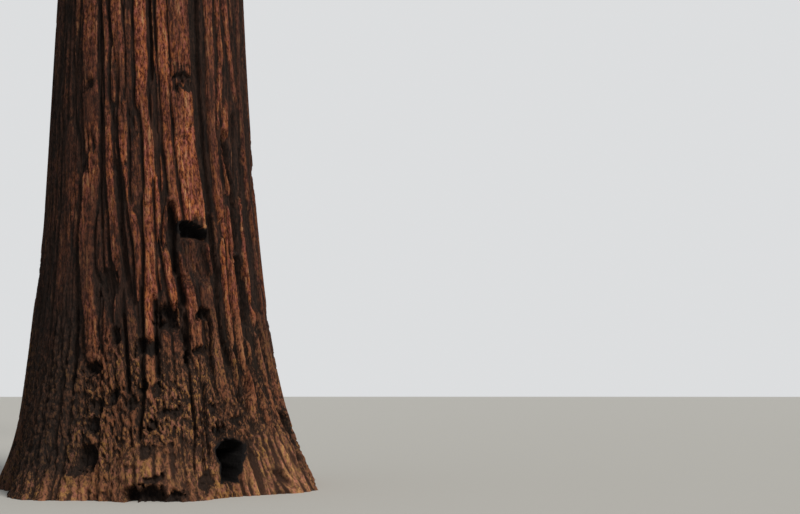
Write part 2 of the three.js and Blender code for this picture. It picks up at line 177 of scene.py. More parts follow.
# Each main ridge: its width at the top and foot, how far it stands out, how warm its colour
# is, and the heights and angles that it runs through, from the top down. Those that start at
# 9.4 come down from above the photograph.
MAIN_RIDGES = (
    (0.06, 0.06, 0.5, 0.24, ((9.4, -141), (7.0, -137.5), (6.3, -137))),
    (0.06, 0.07, 0.5, 0.24, ((9.4, -133), (6.1, -127), (5.6, -127))),
    (0.36, 0.5, 0.55, 0.26, ((5.8, -127), (4.6, -124.5), (2.6, -124))),
    (0.27, 0.27, 0.85, 0.38, ((9.4, -116.5), (6.6, -113.5), (5.45, -110))),
    (0.3, 0.15, 0.9, 0.5, ((5.2, -110), (4.6, -110.5), (4.0, -112), (2.9, -109), (1.95, -105.5))),
    (0.06, 0.13, 0.75, 0.5, ((9.4, -107), (7.8, -105), (6.8, -102.2), (6.0, -101), (4.8, -99),
                            (4.3, -97), (3.4, -94.5))),
    (0.24, 0.15, 0.95, 0.62, ((9.4, -99), (7.8, -97), (6.5, -94.5), (5.6, -92), (5.1, -90.5))),
    (0.15, 0.07, 0.95, 0.72, ((5.2, -90.5), (4.4, -87.5), (3.8, -84.5), (2.9, -83.5))),
    (0.09, 0.08, 0.7, 0.6, ((7.0, -98.4), (6.0, -97.6))),
    (0.22, 0.16, 0.5, 0.35, ((9.4, -91.5), (7.8, -90), (6.8, -88), (6.0, -89))),
    (0.2, 0.22, 0.42, 0.3, ((5.7, -85.4), (4.2, -84))),
    (0.21, 0.17, 1.0, 0.86, ((9.4, -85), (7.8, -83.5), (6.2, -82), (6.0, -81.3))),
    (0.12, 0.18, 1.0, 0.75, ((6.2, -82), (5.5, -78.5), (4.5, -77.5))),
    (0.26, 0.14, 1.0, 0.9, ((4.6, -77.6), (3.8, -77), (2.9, -79), (2.2, -79), (1.2, -79.5))),
    (0.07, 0.09, 0.85, 0.8, ((5.1, -74.5), (4.3, -74), (3.2, -72.5))),
    (0.05, 0.08, 0.85, 0.8, ((9.4, -79), (7.8, -77.5), (7.1, -76), (6.6, -73), (5.5, -71.5),
                             (4.8, -70.5))),
    (0.13, 0.25, 0.92, 0.85, ((9.4, -73), (7.8, -71.5), (6.7, -69.5), (5.7, -67.5),
                              (4.7, -65.5), (4.24, -65))),
    (0.37, 0.34, 1.0, 0.5, ((9.4, -63), (7.9, -61.5), (6.68, -60.2))),
    (0.34, 0.33, 0.95, 0.58, ((6.5, -60.5), (5.6, -59))),
    (0.34, 0.38, 0.97, 1.0, ((5.75, -59.2), (5.4, -58.4), (4.7, -56.2), (4.16, -54))),
    (0.08, 0.07, 0.9, 0.7, ((4.45, -69), (4.2, -70.5), (3.9, -71.5))),
    (0.07, 0.07, 1.05, 0.85, ((4.14, -65.3), (3.7, -69), (3.5, -68), (2.7, -66.4))),
    (0.05, 0.06, 1.0, 0.7, ((4.05, -49.2), (3.8, -48.2), (3.4, -46.8))),
    (0.12, 0.1, 1.0, 0.8, ((3.9, -72.5), (3.3, -69.3), (2.6, -67))),
    (0.17, 0.14, 1.0, 0.52, ((9.4, -42), (8.0, -42), (6.3, -42), (5.6, -41.3), (5.1, -41.2),
                           (4.3, -38.6))),
    (0.11, 0.16, 1.0, 0.7, ((4.4, -37.6), (3.8, -35.2), (3.4, -35), (3.0, -35.2),
                            (2.3, -34.6), (1.2, -32.8))),
    (0.07, 0.09, 0.9, 0.7, ((4.0, -39.6), (3.5, -39.8), (3.0, -39.4), (2.2, -38.9), (1.7, -38.2))),
    (0.04, 0.05, 0.9, 0.7, ((4.4, -34.4), (4.0, -31.4), (3.7, -30.6))),
    (0.06, 0.06, 0.85, 0.55, ((2.3, -40.6), (2.0, -39.9), (1.5, -38.8))),
    (0.06, 0.11, 0.85, 0.65, ((9.4, -35.5), (7.9, -35), (7.2, -33.5), (5.6, -37))),
    (0.17, 0.09, 0.85, 0.6, ((9.4, -31), (8.2, -29), (7.3, -25.5), (6.3, -20.5))),
    (0.16, 0.1, 0.9, 0.5, ((6.4, -31.3), (5.5, -33.5), (4.8, -32))),
    (0.07, 0.06, 0.85, 0.6, ((4.7, -34.5), (3.7, -33))),
    (0.06, 0.08, 1.0, 0.85, ((4.8, -22.3), (4.3, -22.6), (3.8, -23.2), (3.4, -22.8), (3.0, -22),
                            (2.65, -22.2))),
    (0.07, 0.09, 0.9, 0.55, ((2.4, -30.5), (1.9, -28.5), (1.5, -27.7), (0.9, -26.5))),
    (0.07, 0.08, 0.9, 0.55, ((2.6, -23.4), (2.0, -22.1), (1.1, -21.5))),
    (0.08, 0.1, 0.9, 0.5, ((2.9, -17.5), (1.9, -14.2), (1.2, -14.6))),
    (0.09, 0.08, 1.0, 0.6, ((9.4, -10.5), (8.3, -11.5), (6.7, -15.5), (5.4, -14), (4.2, -9),
                           (3.1, -11), (1.6, -11))),
    (0.16, 0.22, 0.85, 0.75, ((3.7, -62.8), (3.2, -60.9), (2.6, -58.4), (2.0, -57.5))),
    (0.2, 0.26, 0.74, 0.38, ((3.6, -51), (3.0, -50), (2.0, -48.5), (1.3, -46))),
)

# Deep grooves: width, depth below a plain furrow's, and the heights and angles that each runs
# through.
GROOVES = (
    (0.17, 0.08, ((9.4, -51.5), (7.4, -51), (6.1, -49.6), (5.4, -48.9), (4.75, -47.6), (4.3, -46.8))),
    (0.07, 0.04, ((9.0, -80), (7.8, -79.2), (6.4, -76.5))),
    (0.11, 0.13, ((4.5, -67.3), (4.2, -67.2), (3.95, -67.1), (3.6, -67.1), (3.3, -66.3))),
    (0.1, 0.1, ((3.38, -65.4), (3.26, -64.8), (3.02, -64.6), (2.8, -64))),
    (0.13, 0.1, ((4.5, -47.2), (3.95, -46), (3.45, -44.4), (2.9, -44.3), (2.5, -43.5), (1.9, -43))),
    (0.15, 0.13, ((5.8, -33), (5.25, -31.5), (4.85, -28.9), (4.5, -28.2), (4.1, -28.5), (3.8, -29.4))),
    (0.1, 0.06, ((5, -19.5), (4.3, -20.6), (3.9, -20), (3.4, -20.6), (2.9, -21))),
    (0.1, 0.05, ((6.2, -23.2), (5.55, -24.8), (4.95, -25.3))),
    (0.1, 0.05, ((5.7, -17.5), (5.2, -18), (4.8, -19))),
    (0.16, 0.02, ((0.36, -30.5), (0.1, -28.5))),
    (0.2, 0.18, ((3.75, -28), (3.35, -27.2), (3.0, -26.8), (2.6, -27.4))),
    (0.08, 0.09, ((2.65, -42.6), (2.3, -42.3), (1.85, -42))),
    (0.06, 0.06, ((2.3, -37.5), (1.9, -37.8), (1.3, -38.7))),
    (0.08, 0.07, ((3.0, -76.2), (2.3, -76.2), (1.7, -76.3))),
    (0.42, 0.17, ((1.22, -15.5), (1.05, -13.5), (0.85, -11.5), (0.68, -11))),
    (0.12, 0.1, ((0.75, -14.5), (0.5, -17), (0.3, -18.5))),
    (0.1, 0.04, ((5.2, -96.5), (4.4, -93), (3.6, -90.5), (2.9, -88.5))),
    (0.06, 0.02, ((9.0, -107.5), (7.5, -107), (5.6, -104.5), (4.0, -103))),
    (0.035, 0.05, ((1.9, -61.9), (1.4, -62.4), (1.0, -63.4), (0.3, -64.8))),
    (0.04, 0.04, ((1.7, -57), (0.5, -58.5))),
    (0.06, 0.03, ((3.2, -82), (2.2, -82.1), (1.2, -82.8), (0.8, -83.2))),
    (0.08, 0.08, ((2.8, -63.4), (2.5, -62.8), (2.2, -62.7), (1.85, -63))),
    (0.03, 0.05, ((1.4, -59.7), (1.1, -59.4), (0.4, -61.6))),
    (0.07, 0.09, ((2.3, -32), (1.7, -33.7), (1.2, -35.7))),
    (0.05, 0.08, ((2.6, -27.4), (1.9, -28), (1.4, -28.9))),
    (0.07, 0.06, ((2.8, -91.6), (2.0, -89.3), (1.5, -87.4))),
    (0.07, 0.06, ((2.9, -116), (2.0, -114.4), (1.6, -114.5))),
    (0.06, 0.05, ((2.75, -51.2), (2.5, -51), (2, -51), (1.75, -50.5))),
    (0.06, 0.05, ((2.5, -18.5), (2.1, -17.2), (1.7, -17))),
)

# Pits and broken places in the bark: angle, height, half width, half height and depth.
PITS = (
    (-60.8, 6.58, 0.17, 0.05, 0.06),
    (-58.6, 6.41, 0.15, 0.09, 0.05),
    (-113.1, 6.42, 0.06, 0.11, 0.07),
    (-105.8, 1.87, 0.14, 0.12, 0.16),
    (-70.2, 2.66, 0.18, 0.26, 0.2),
    (-76.3, 2.68, 0.06, 0.12, 0.1),
    (-64.1, 2.36, 0.07, 0.18, 0.09),
    (-53.3, 2.75, 0.11, 0.1, 0.15),
    (-83.4, 2.21, 0.11, 0.12, 0.13),
    (-81.6, 1.65, 0.06, 0.1, 0.1),
    (-62.8, 2.06, 0.06, 0.08, 0.12),
    (-57.5, 2.16, 0.13, 0.07, 0.1),
    (-99.5, 3.16, 0.18, 0.3, 0.07),
    (-94.5, 2.39, 0.09, 0.15, 0.1),
    (-105, 0.58, 0.2, 0.2, 0.18),
    (-82, 0.08, 0.36, 0.14, 0.3),
    (-73, 0.04, 0.12, 0.08, 0.15),
    (-79.3, 1.05, 0.08, 0.08, 0.08),
    (-72, 1.24, 0.19, 0.08, 0.07),
    (-103, 1.3, 0.16, 0.13, 0.07),
    (-62, 0.2, 0.12, 0.12, 0.07),
    (-43, 1.08, 0.1, 0.1, 0.07),
    (-82, 0.7, 0.12, 0.1, 0.06),
    (-79, 2.17, 0.1, 0.12, 0.1),
    (-80, 0.3, 0.14, 0.06, 0.08),
    (-51.6, 0.96, 0.11, 0.13, 0.12),
    (-109, 0.4, 0.12, 0.1, 0.08),
    (-86, 1.38, 0.12, 0.11, 0.08),
    (-77, 1.57, 0.11, 0.09, 0.07),
    (-103.5, 1.04, 0.12, 0.13, 0.1),
    (-95.5, 1.45, 0.1, 0.1, 0.1),
    (-54, 1.28, 0.1, 0.1, 0.08),
    (-60, 0.3, 0.15, 0.11, 0.05),
)

# The burnt alcove and the low cave: arched hollows, with shade under the lip and a face below.
# Under the lip each is painted black as well as cut deep, a painted shadow, and the cave's face
# is painted black all through, partly char and partly painted shade. Each has its facing at the
# lip, the heights of its lip and foot, its width, its lean in degrees for each metre down, how
# square its arch is, how deep it is in the shade and at the face, how far the shade and the sill
# reach, how burnt and shaded its face is painted, how it widens down, and how tall the arch is.
ALCOVE = SimpleNamespace(
    facing=-57.3, lip=4.17, foot=3.0, width=0.48, lean=3.0, square=3, depth=0.3, face_depth=0.1,
    shade=0.25, sill=0.6, char=0.54, taper=0.1, rounding=0.36,
)
CAVE = SimpleNamespace(
    facing=-48.4, lip=0.76, foot=0.2, width=0.4, lean=-4.6, square=3, depth=0.3, face_depth=0.95,
    shade=0.12, sill=0.1, char=1.0, taper=-0.5, rounding=0.8,
)
HOLLOWS = (ALCOVE, CAVE)
HOLLOW_EDGE = 0.04
HOLLOW_JAG = 0.5
HOLLOW_WOBBLE = 0.14
SHADE_DEEPEST = 0.6  # of the shade's reach: it is whole down to here and gone at its end
SILL_START = 0.04
BURNT_EDGES = (2.2, 1.2)  # in widths of the hollow's edge, past its outline
BURNT_SILL = (0.0, 0.35)
HOLLOW_BLEND = (0.1, 0.7)
HOLLOW_ROUGHNESS = 0.02
HOLLOW_SPLINTER = 0.05
HOLLOW_CHIP = 0.02
HOLLOW_SPLIT = 0.012
HOLLOW_RELIEF = 0.6
HOLLOW_SPLINTERS = 0.4

# Grooves and pits: how soft their sides are, and how deep one has to be cut to be painted black. The deeper
# a groove or pit is cut, the more painted shade it gets.
GROOVE_RIM = 0.025
PIT_RIM = (1.2, 0.6)  # of the pit's own half width and half height
DARK_GROOVE = 0.16
DARK_PIT = 0.12
PIT_DARKEST = 0.82

# Lumps of crumbled bark round the foot, in three sizes: how many round, how long, and how much
# each size counts. They lean as they rise.
LUMP_TOP = 2.8
LUMP_WAVER = 1.4
LUMP_FADE = 1.2
LUMP_SLANT = 0.1  # radians for each metre
LUMP_HEIGHT = 0.05
LUMP_SIZES = ((70, 0.4, 0.14), (260, 0.1, 0.4), (430, 0.06, 0.46))
LUMP_SEED = 61
LUMP_EDGES = (0.38, 0.62)
LUMP_LEVEL = 0.4  # lumps higher than this stand proud
FLANK_FACING = -25  # the flank that stays splintered almost to the ground
FLANK_SPREAD = 17
FLANK_DROP = 1.0
WHOLE_SHARE = 0.4  # how much less the dark side has crumbled
WHOLE_ROOT = 0.9  # how much less a smooth root has
WHOLE_CREST = 0.45  # how much less the crest of a main ridge has

# Roots that keep long smooth fibres: facing, spread, how high each reaches and how smooth it is.
ROOTS = ((-25, 12, 0.85, 1.0), (-39, 9, 0.48, 1.0), (-76, 22, 0.7, 0.55), (-108, 14, 0.3, 0.6))
ROOT_FADE = 0.35

# Broad swells of the trunk: facing, spread, the heights that each lies between and how far it
# stands out.
SWELLS = ((-164, 20, 1.2, 3.6, 0.06), (-8, 16, 0.1, 1.2, 0.06))
SWELL_FADE = 0.8

# How deep each kind of roughness is, in metres.
BULGE_DEPTH = 0.035
FIBRE_DEPTH = 0.014
ROOT_FIBRE_DEPTH = 0.1
SPLIT_DEPTH = 0.022
SPLINTER_STEP = 0.014
CRACK_DEPTH = 0.006
CHIP_STEP = 0.01

# Where splits and cracks open round a splinter or a chip, where there is less of them, and how
# ragged the edges of grooves, pits and hollows are.
SPLIT_EDGES = (0.3, 0.06)
SPLIT_PATCHES = (-0.2, 0.1)
CRACK_EDGES = (0.35, 0.08)
FURROW_SPLITS = 0.25  # how much of the splits' depth is left in a furrow
ROOT_CALM = 0.4  # how much of the splits and chips a smooth root loses
JAG = 0.06
FINE_JAG = 1.5  # of the main one, and so is the next
CHIP_JAG = 0.2

# How the relief that colours the bark is made up of its parts, from 0 in a furrow to 1.
SPLIT_RELIEF = 0.35
CRACK_RELIEF = 0.1
LUMP_RELIEF = (0.3, 0.7)  # what is there anyway, and what the lumps add
ROOT_RELIEF = 0.74
ROOT_FIBRE_RELIEF = 2
CRUMBLED_HEIGHT = 0.35  # what height any ridge has once crumbled
CRUMBLED_OWN = 0.55  # and how much of its own it keeps
CRUMBLED_SHARE = 0.85
ROOT_HEIGHT = 0.62
ROOT_OWN = 0.32
CHIP_WARMTH = 0.25

# Weathering: bark turns tan and grey-gold below these heights. Painted shade: the side away from the key
# light and the far right edge are painted dull and dark.
WORN_HEIGHTS = (3.5, 1.9)
SHADE_FACINGS = (-96, -120)
SHADE_HEIGHTS = (4.6, 2.6)
SHADE_FOOT = (0.1, 0.5)
SHADE = 0.76
SHADE_ENDS = (-179, -170)
EDGE_SHADE = 0.74
EDGE_SHADE_FACINGS = (-117, -140)
EDGE_SHADE_HEIGHTS = (10.6, 8.6)
FAR_SHADE = 0.5
FAR_SHADE_FACINGS = (-30, -12)
FAR_SHADE_ENDS = (40, 15)
FAR_SHADE_HEIGHTS = (1.5, 2.5)
WORN_WAVER = 1.4
WORN_CREST = 0.35  # how much less the crest of a main ridge is worn
FOOT_GLOW = 0.22  # how much paler the crumbled bark is at the ground
FOOT_GLOW_HEIGHTS = (0.75, 0.2)

# Crown: masses climb the trunk in a spiral. The lower ones stand on boughs.
CROWN_FOOT = 32.0
CROWN_HEAD = 82.0
CROWN_REACH = 9.4
CROWN_POWER = 1.8
CROWN_ROUNDING = 0.9
FOOT_SHARE = 0.72
FOOT_RISE = 0.15
MASS_COUNT = 34
BOUGH_COUNT = 15
GOLDEN_ANGLE = math.pi * (3 - math.sqrt(5))
FIRST_HEADING = 0.35
HEADING_SCATTER = 0.3
REACH_SCATTER = (0.84, 1.05)
RISE = (-0.1, 0.75)
RISE_SCATTER = 0.16
SAG = (0.3, 0.12)
ROOTED_SHARE = -0.06
BOUGH_SHARE = 0.34
BOUGH_ROOT_RADIUS = (0.3, 0.19)
BOUGH_TIP_RADIUS = 0.14
BOUGH_RIDGES = ((9, 14, 140, 1), (16, 34, 160, 0.5))  # how many round and along, seed, weight
BOUGH_FURROW = 0.86
BOUGH_RIDGE = 0.13
COLLAR = 0.35
COLLAR_LENGTH = 0.09  # of the bough's length
STEM_RADIUS = (0.15, 0.105)
STEM_TIP_RADIUS = 0.06
STEM_SHARE = 0.88
STEM_OVERLAP = 0.02  # how far a stem reaches back into its bough
HEART_SHARE = {True: 0.64, False: 0.58}  # of a limb's reach, on a bough or on the trunk
CELL_MARGIN = 0.06
TRUNK_ROOM = 0.12
BOUGH_ROOM = 0.16
SPRAY_COUNT = 10
REACHING = {"forward": (0.1, 1), "sideways": (0.5, 1), "upward": (-0.4, 0.6)}
HANGING = {"forward": (0.1, 1), "sideways": (0, 1), "upward": (-1.5, -0.5)}
LEADING = {"forward": (1, 2), "sideways": (-0.6, 0.6), "upward": (-0.3, 0.3)}
LEADING_SHARE = 0.97
ROLL = 1.3
TRIES = 14
SHRINK = 0.95
SPRAY_LENGTH = (5.2, 3.0)
SPRAY_SLIMNESS = 0.4
SPRAY_THICKNESS = 0.12
TWIG_RADIUS = 0.028
TEETH = ((0.26, 0.4), (0.4, 0.24), (0.55, 0.5))
BLADE_MIDDLE = 0.45
LEADER_COUNT = 16
LEADER_RADIUS = (0.075, 0.025)
LEADER_SPAN = (0.04, 0.9)
LEADER_SPRAY = (2.5, 0.9)
LEADER_RISE = (0, 1.3)
LEADER_SCATTER = 0.3
BRANCH_SEED = 11
MASS_SEED = 5
MASS_SEED_STEP = 7919
LEADER_SEED = 4242

# What grows on from each of the source's sprays: a branch, twigs to both sides, needle sprays.
BRANCH_RADIUS = (0.034, 0.01)
BRANCH_DROOP = 0.05  # of its length
TWIG_PITCH = 0.2
TWIG_ANGLE = (62, 32)  # from the branch, at its root and at its tip
TWIG_THICKNESS = 0.009
NEEDLE_PITCH = 0.12
NEEDLE_ANGLE = (46, 46)  # from the twig, at its root and at its tip
MOST_TWIGS = 26
MOST_NEEDLES = 12
NEEDLE_LENGTH = (0.5, 0.34)  # of a needle spray, at the twig's root and tip
FINE_SEED = 77
FILL_COUNT = 16  # shorter sprays that fill each mass between the source's own
FILL_LENGTH = 0.7
FILL_SEED_STEP = 977
LEVELS = (7, 14, 21, 28)  # the crown's pieces change at these masses, and at each quarter of a turn
QUARTERS = 4

# The camera stands where the photograph was taken, in the frame's own metres.
CAMERA_PLACE = (1.756, -7.556, 0.667)
CAMERA_PITCH = 7.86
CAMERA_LENS = 45
CAMERA_SENSOR = 36
CAMERA_REACH = 1000
FLOOR_RADIUS = 400
KEY_FACING = -42
KEY_HEIGHT = 40
KEY_STRENGTH = 2.12
KEY_SOFTNESS = 22
ROOM_LIGHT = 0.37
ROOM_COLOUR = (0.9, 0.96, 1, 1)
KEY_COLOUR = (1.0, 0.96, 0.9)
BACKDROP_COLOUR = (0.72, 0.73, 0.74, 1)
FLOOR_COLOUR = (205, 202, 196)  # as it looks on screen, from 0 to 255


def lerp(low, high, share):
    return low + (high - low) * share


def smooth(low, high, value):
    """0 below low, 1 above high and a soft step between them. With high under low it falls."""
    share = np.clip((value - low) / (high - low), 0, 1)
    return share * share * (3 - 2 * share)


def seeded(seed):
    """Numbers from 0 to 1, drawn as the source draws them."""
    state = seed

    def draw():
        nonlocal state
        state = (state * 1664525 + 1013904223) % 4294967296
        return state / 4294967296

    return draw


def heading(angle, rise=0.0):
    return np.array([math.cos(angle), math.sin(angle), rise])


def unit(vectors):
    return vectors / np.linalg.norm(vectors, axis=-1, keepdims=True)


# Patterns round the trunk
CELL_RIM = 0.08  # how near a cell's middle comes to the edge of its step
CELL_ROOM = 1 - 2 * CELL_RIM
FAR_OFF = 9.0  # further than any cell's middle, in steps


def scattered(column, row, seed):
    """A number from 0 to 1 for each corner of a grid, the same on every run. The large numbers
    only mix the bits."""
    mixed = column.astype(np.uint32) * np.uint32(374761393) + row.astype(np.uint32) * np.uint32(668265263)
    mixed = mixed + np.uint32(seed * 2246822519 % 4294967296)
    mixed = (mixed ^ (mixed >> np.uint32(13))) * np.uint32(1274126177)
    mixed = (mixed ^ (mixed >> np.uint32(15))) * np.uint32(2654435761)
    return (mixed ^ (mixed >> np.uint32(16))) / 4294967296


def noise(across, up, seed, around):
    """Smooth noise from 0 to 1, one step wide, that closes after a number of steps across."""
    left = np.floor(across).astype(np.int64)
    low = np.floor(up).astype(np.int64)
    share = smooth(0, 1, across - left)
    rise = smooth(0, 1, up - low)
    here = left % around
    there = (left + 1) % around
    below = lerp(scattered(here, low, seed), scattered(there, low, seed), share)
    above = lerp(scattered(here, low + 1, seed), scattered(there, low + 1, seed), share)
    return lerp(below, above, rise)


def cells(across, up, seed, around):
    """Random cells one step wide: how far inside its cell each point lies, and the cell's own
    number from 0 to 1."""
    left = np.floor(across).astype(np.int64)
    low = np.floor(up).astype(np.int64)
    nearest = np.full(across.shape, FAR_OFF)
    second = np.full(across.shape, FAR_OFF)
    own = np.zeros(across.shape)
    for column in (left - 1, left, left + 1):
        for row in (low - 1, low, low + 1):
            place = column % around
            aside = column + CELL_RIM + CELL_ROOM * scattered(place, row, seed) - across
            over = row + CELL_RIM + CELL_ROOM * scattered(place, row, seed + 1) - up
            far = np.hypot(aside, over)
            closer = far < nearest
            second = np.where(closer, nearest, np.minimum(second, far))
            own = np.where(closer, scattered(place, row, seed + 2), own)
            nearest = np.where(closer, far, nearest)
    return second - nearest, own


def ring_noise(angle, z, steps, length, seed):
    """Noise from 0 to 1 that closes round the trunk: so many steps round it, and so long."""
    return noise(angle / TURN * steps, z / length, seed, steps)


def rising_noise(z, length, seed):
    """Noise from 0 to 1 that varies only with the height."""
    return noise(np.full(z.shape, 0.5), z / length, seed, 4)


# The trunk's shape
def trunk_radius(z):
    column = COLUMN_RADIUS * np.maximum(0, 1 - z / COLUMN_HEIGHT) ** COLUMN_POWER
    butt = BUTT_FLARE * np.exp(-z / BUTT_FLARE_HEIGHT)
    return column + butt + ROOT_FLARE * np.exp(-z / ROOT_FLARE_HEIGHT)


def trunk_centre(z):
    """The middle of the trunk at a height, or at an array of heights."""
    z = np.asarray(z, float)
    turn = z / SWAY_HEIGHT
    sway = SWAY * np.clip(turn, 0, 1)
    sweep = SWEEP * (1 - np.exp(-z / SWEEP_HEIGHT))
    return np.stack([sway * np.sin(turn) - sweep, sway * np.sin(SWAY_TURN * turn), z], -1)


def turned(angle, facing):
    """How far an angle in radians is from a facing in degrees, the short way round."""
    turn = angle - np.radians(facing)
    return np.arctan2(np.sin(turn), np.cos(turn))


def near(angle, facing, spread):
    """1 at a facing, fading away to both sides of it."""
    off = turned(angle, facing) / math.radians(spread)
    return np.exp(-off * off)


def bark_radius(angle, z):
    """The radius over the ridges, with the buttresses."""
    crest = np.zeros(np.shape(angle))
    for facing in BUTTRESS_ANGLES:
        crest = np.maximum(crest, near(angle, facing, BUTTRESS_SPREAD))
    lobe = VALLEY_SHARE + BUTTRESS_SHARE * crest
    return trunk_radius(z) + ROOT_FLARE * np.exp(-z / ROOT_FLARE_HEIGHT) * (lobe - 1)


def swells(skin):
    """How far the trunk's broad swells stand out."""
    out = np.zeros(skin.z.shape)
    for facing, spread, low, high, rise in SWELLS:
        tall = smooth(low - SWELL_FADE, low + SWELL_FADE, skin.z)
        tall = tall * smooth(high + SWELL_FADE, high - SWELL_FADE, skin.z)
        out = out + rise * tall * near(skin.angle, facing, spread)
    return out


def skin_at(angle, z):
    """Points of the bark: angle and height, the trunk's plain radius there, and the angle that
    its wandering grain has at the ground."""
    wander = ring_noise(angle, z, *WANDERS) - 0.5
    wander = wander + LESSER_WANDER * (ring_noise(angle, z, *LESSER_WANDERS) - 0.5)
    grain = angle + TWIST * z + WANDER * wander
    return SimpleNamespace(
        angle=angle, degrees=np.degrees(angle), z=z, plain=trunk_radius(z), grain=grain
    )


def grained_cells(skin, steps, length, seed):
    """Random cells along the grain: so many round the trunk, and so long."""
    return cells(skin.grain / TURN * steps, skin.z / length, seed, steps)


def grained_noise(skin, steps, length, seed):
    """Noise along the grain, from -0.5 to 0.5."""
    return ring_noise(skin.grain, skin.z, steps, length, seed) - 0.5


def fibres(skin):
    """The splinters of the bark and the chips on them, each with its own number from 0 to 1,
    the splits and cracks between them, and the fibres that run along them and down the root."""
    inside, splinter = grained_cells(skin, *SPLINTERS)
    split = smooth(*SPLIT_EDGES, inside) * smooth(*SPLIT_PATCHES, grained_noise(skin, *SPLITS))
    inside, chip = grained_cells(skin, *CHIPS)
    jag = JAG * (splinter + chip - 1) + FINE_JAG * JAG * grained_noise(skin, *FINE_JAGS)
    edge = JAG * grained_noise(skin, *LONG_JAGS) + CHIP_JAG * JAG * (chip - 0.5)
    return SimpleNamespace(
        splinter=splinter,
        split=split,
        chip=chip,
        crack=smooth(*CRACK_EDGES, inside),
        fibre=grained_noise(skin, *FIBRES),
        root_fibre=grained_noise(skin, *ROOT_FIBRES),
        jag=jag,
        edge=edge,
    )


def lumps(skin):
    """Crumbled bark: from 0 in its gaps to 1 on its lumps."""
    slanted = skin.grain + LUMP_SLANT * skin.z
    warp = ring_noise(slanted, skin.z, *LUMP_WARPS) - 0.5
    rise = np.zeros(skin.z.shape)
    for seed, (steps, length, weight) in enumerate(LUMP_SIZES, start=LUMP_SEED):
        lump = noise(slanted / TURN * steps + warp, skin.z / length + warp, seed, steps)
        rise = rise + weight * lump
    return smooth(*LUMP_EDGES, rise)


def along_path(path, skin, ends, seed):
    """How far to the side of a path each point lies, in metres, and 1 on its length and 0
    past its ragged ends."""
    heights = [height for height, _ in reversed(path)]
    facings = [facing for _, facing in reversed(path)]
    weave = rising_noise(skin.z, WEAVE_LENGTH, seed) - 0.5
    facing = np.interp(skin.z, heights, facings) + weave
    on = smooth(heights[0] - PAST_END, heights[0] + INSIDE_END, ends)
    on = on * smooth(heights[-1] + PAST_END, heights[-1] - INSIDE_END, ends)
    return turned(skin.angle, facing) * skin.plain, on


def plain_ridges(skin):
    """Ridges that run all round: their height from 0 to 1 and how warm their colour is."""
    inside, own = grained_cells(skin, *PLAIN_RIDGES)
    height = smooth(*FURROW_EDGES, inside) * lerp(LOWEST_RIDGE, 1.0, own)
    return height, PLAIN_WARMTH + WARMTH_VARIETY * own


def own_side(skin):
    """1 on the side that has its own ridges, and 0 away from it."""
    side = smooth(*OWN_SIDE_LEFT, skin.degrees) * smooth(*OWN_SIDE_RIGHT, skin.degrees)
    return side * smooth(*OWN_TOPS, skin.z)


def main_ridges(skin, height, warmth, made):
    """Lays the main ridges over the plain ones, each with a furrow cut along its sides."""
    side = own_side(skin)
    open_side = smooth(*OPEN_FACINGS, skin.degrees)
    height = height * lerp(1, lerp(BETWEEN_HEIGHT, OPEN_HEIGHT, open_side), side)
    cool = BETWEEN_WARMTH - OPEN_COOLNESS * open_side
    warmth = lerp(warmth, cool + BETWEEN_VARIETY * warmth, side)
    ragged = RIDGE_STEP * (made.splinter - 0.5) + RIDGE_RAG * grained_noise(skin, *RIDGE_RAGS)
    ends = skin.z + ENDS_RAG * (made.splinter - 0.5)
    furrow_cut = lerp(*FURROW_CUT, smooth(*FURROW_HEIGHTS, skin.z))
    past_furrow, furrow_side = FURROW_SIDES
    past_ridge, ridge_side = RIDGE_SIDES
    crest = np.zeros(skin.z.shape)
    for number, (top_width, foot_width, rise, tone, path) in enumerate(MAIN_RIDGES):
        off, on = along_path(path, skin, ends, RIDGE_SEED + number)
        share = np.clip((skin.z - path[-1][0]) / (path[0][0] - path[-1][0]), 0, 1)
        swell = rising_noise(skin.z, SWELL_LENGTH, RIDGE_SWELL_SEED + number)
        half = 0.5 * lerp(foot_width, top_width, share) * (SWELL_LEAST + SWELL_MOST * swell)
        away = np.abs(off + ragged * smooth(*RAG_HALVES, half))
        cut = on * smooth(half + past_furrow, half + furrow_side, away) * side
        height = height * (1 - furrow_cut * cut)
        top = on * rise * smooth(half + past_ridge, half + ridge_side, away)
        top = top * (1 - RIDGE_ROUNDING * np.minimum(1, away / half) ** 2)
        tinted = smooth(*TINT_STEP, top - height + TINT_LEAD) * on * (away < half + TINT_PAST)
        warmth = lerp(warmth, tone, tinted)
        height = np.maximum(height, top)
        crest = np.maximum(crest, top * side)
    return height, warmth, crest


def weathering(skin, crest):
    """How far the bark has crumbled to lumps at each point, and how far it is smooth root."""
    root = np.zeros(skin.z.shape)
    for facing, spread, top, share in ROOTS:
        low = smooth(top + ROOT_FADE, top - ROOT_FADE, skin.z)
        root = np.maximum(root, share * low * near(skin.angle, facing, spread))
    top = LUMP_TOP + LUMP_WAVER * (ring_noise(skin.angle, 0 * skin.z, *LUMP_TOPS) - 0.5)
    top = top - FLANK_DROP * near(skin.angle, FLANK_FACING, FLANK_SPREAD)
    crumbled = smooth(top, top - LUMP_FADE, skin.z)
    crumbled = crumbled * (1 - WHOLE_ROOT * root) * (1 - WHOLE_CREST * crest)
    shaded = WHOLE_SHARE * smooth(*SHADE_FACINGS, skin.degrees) * smooth(*SHADE_ENDS, skin.degrees)
    return crumbled * (1 - shaded), root


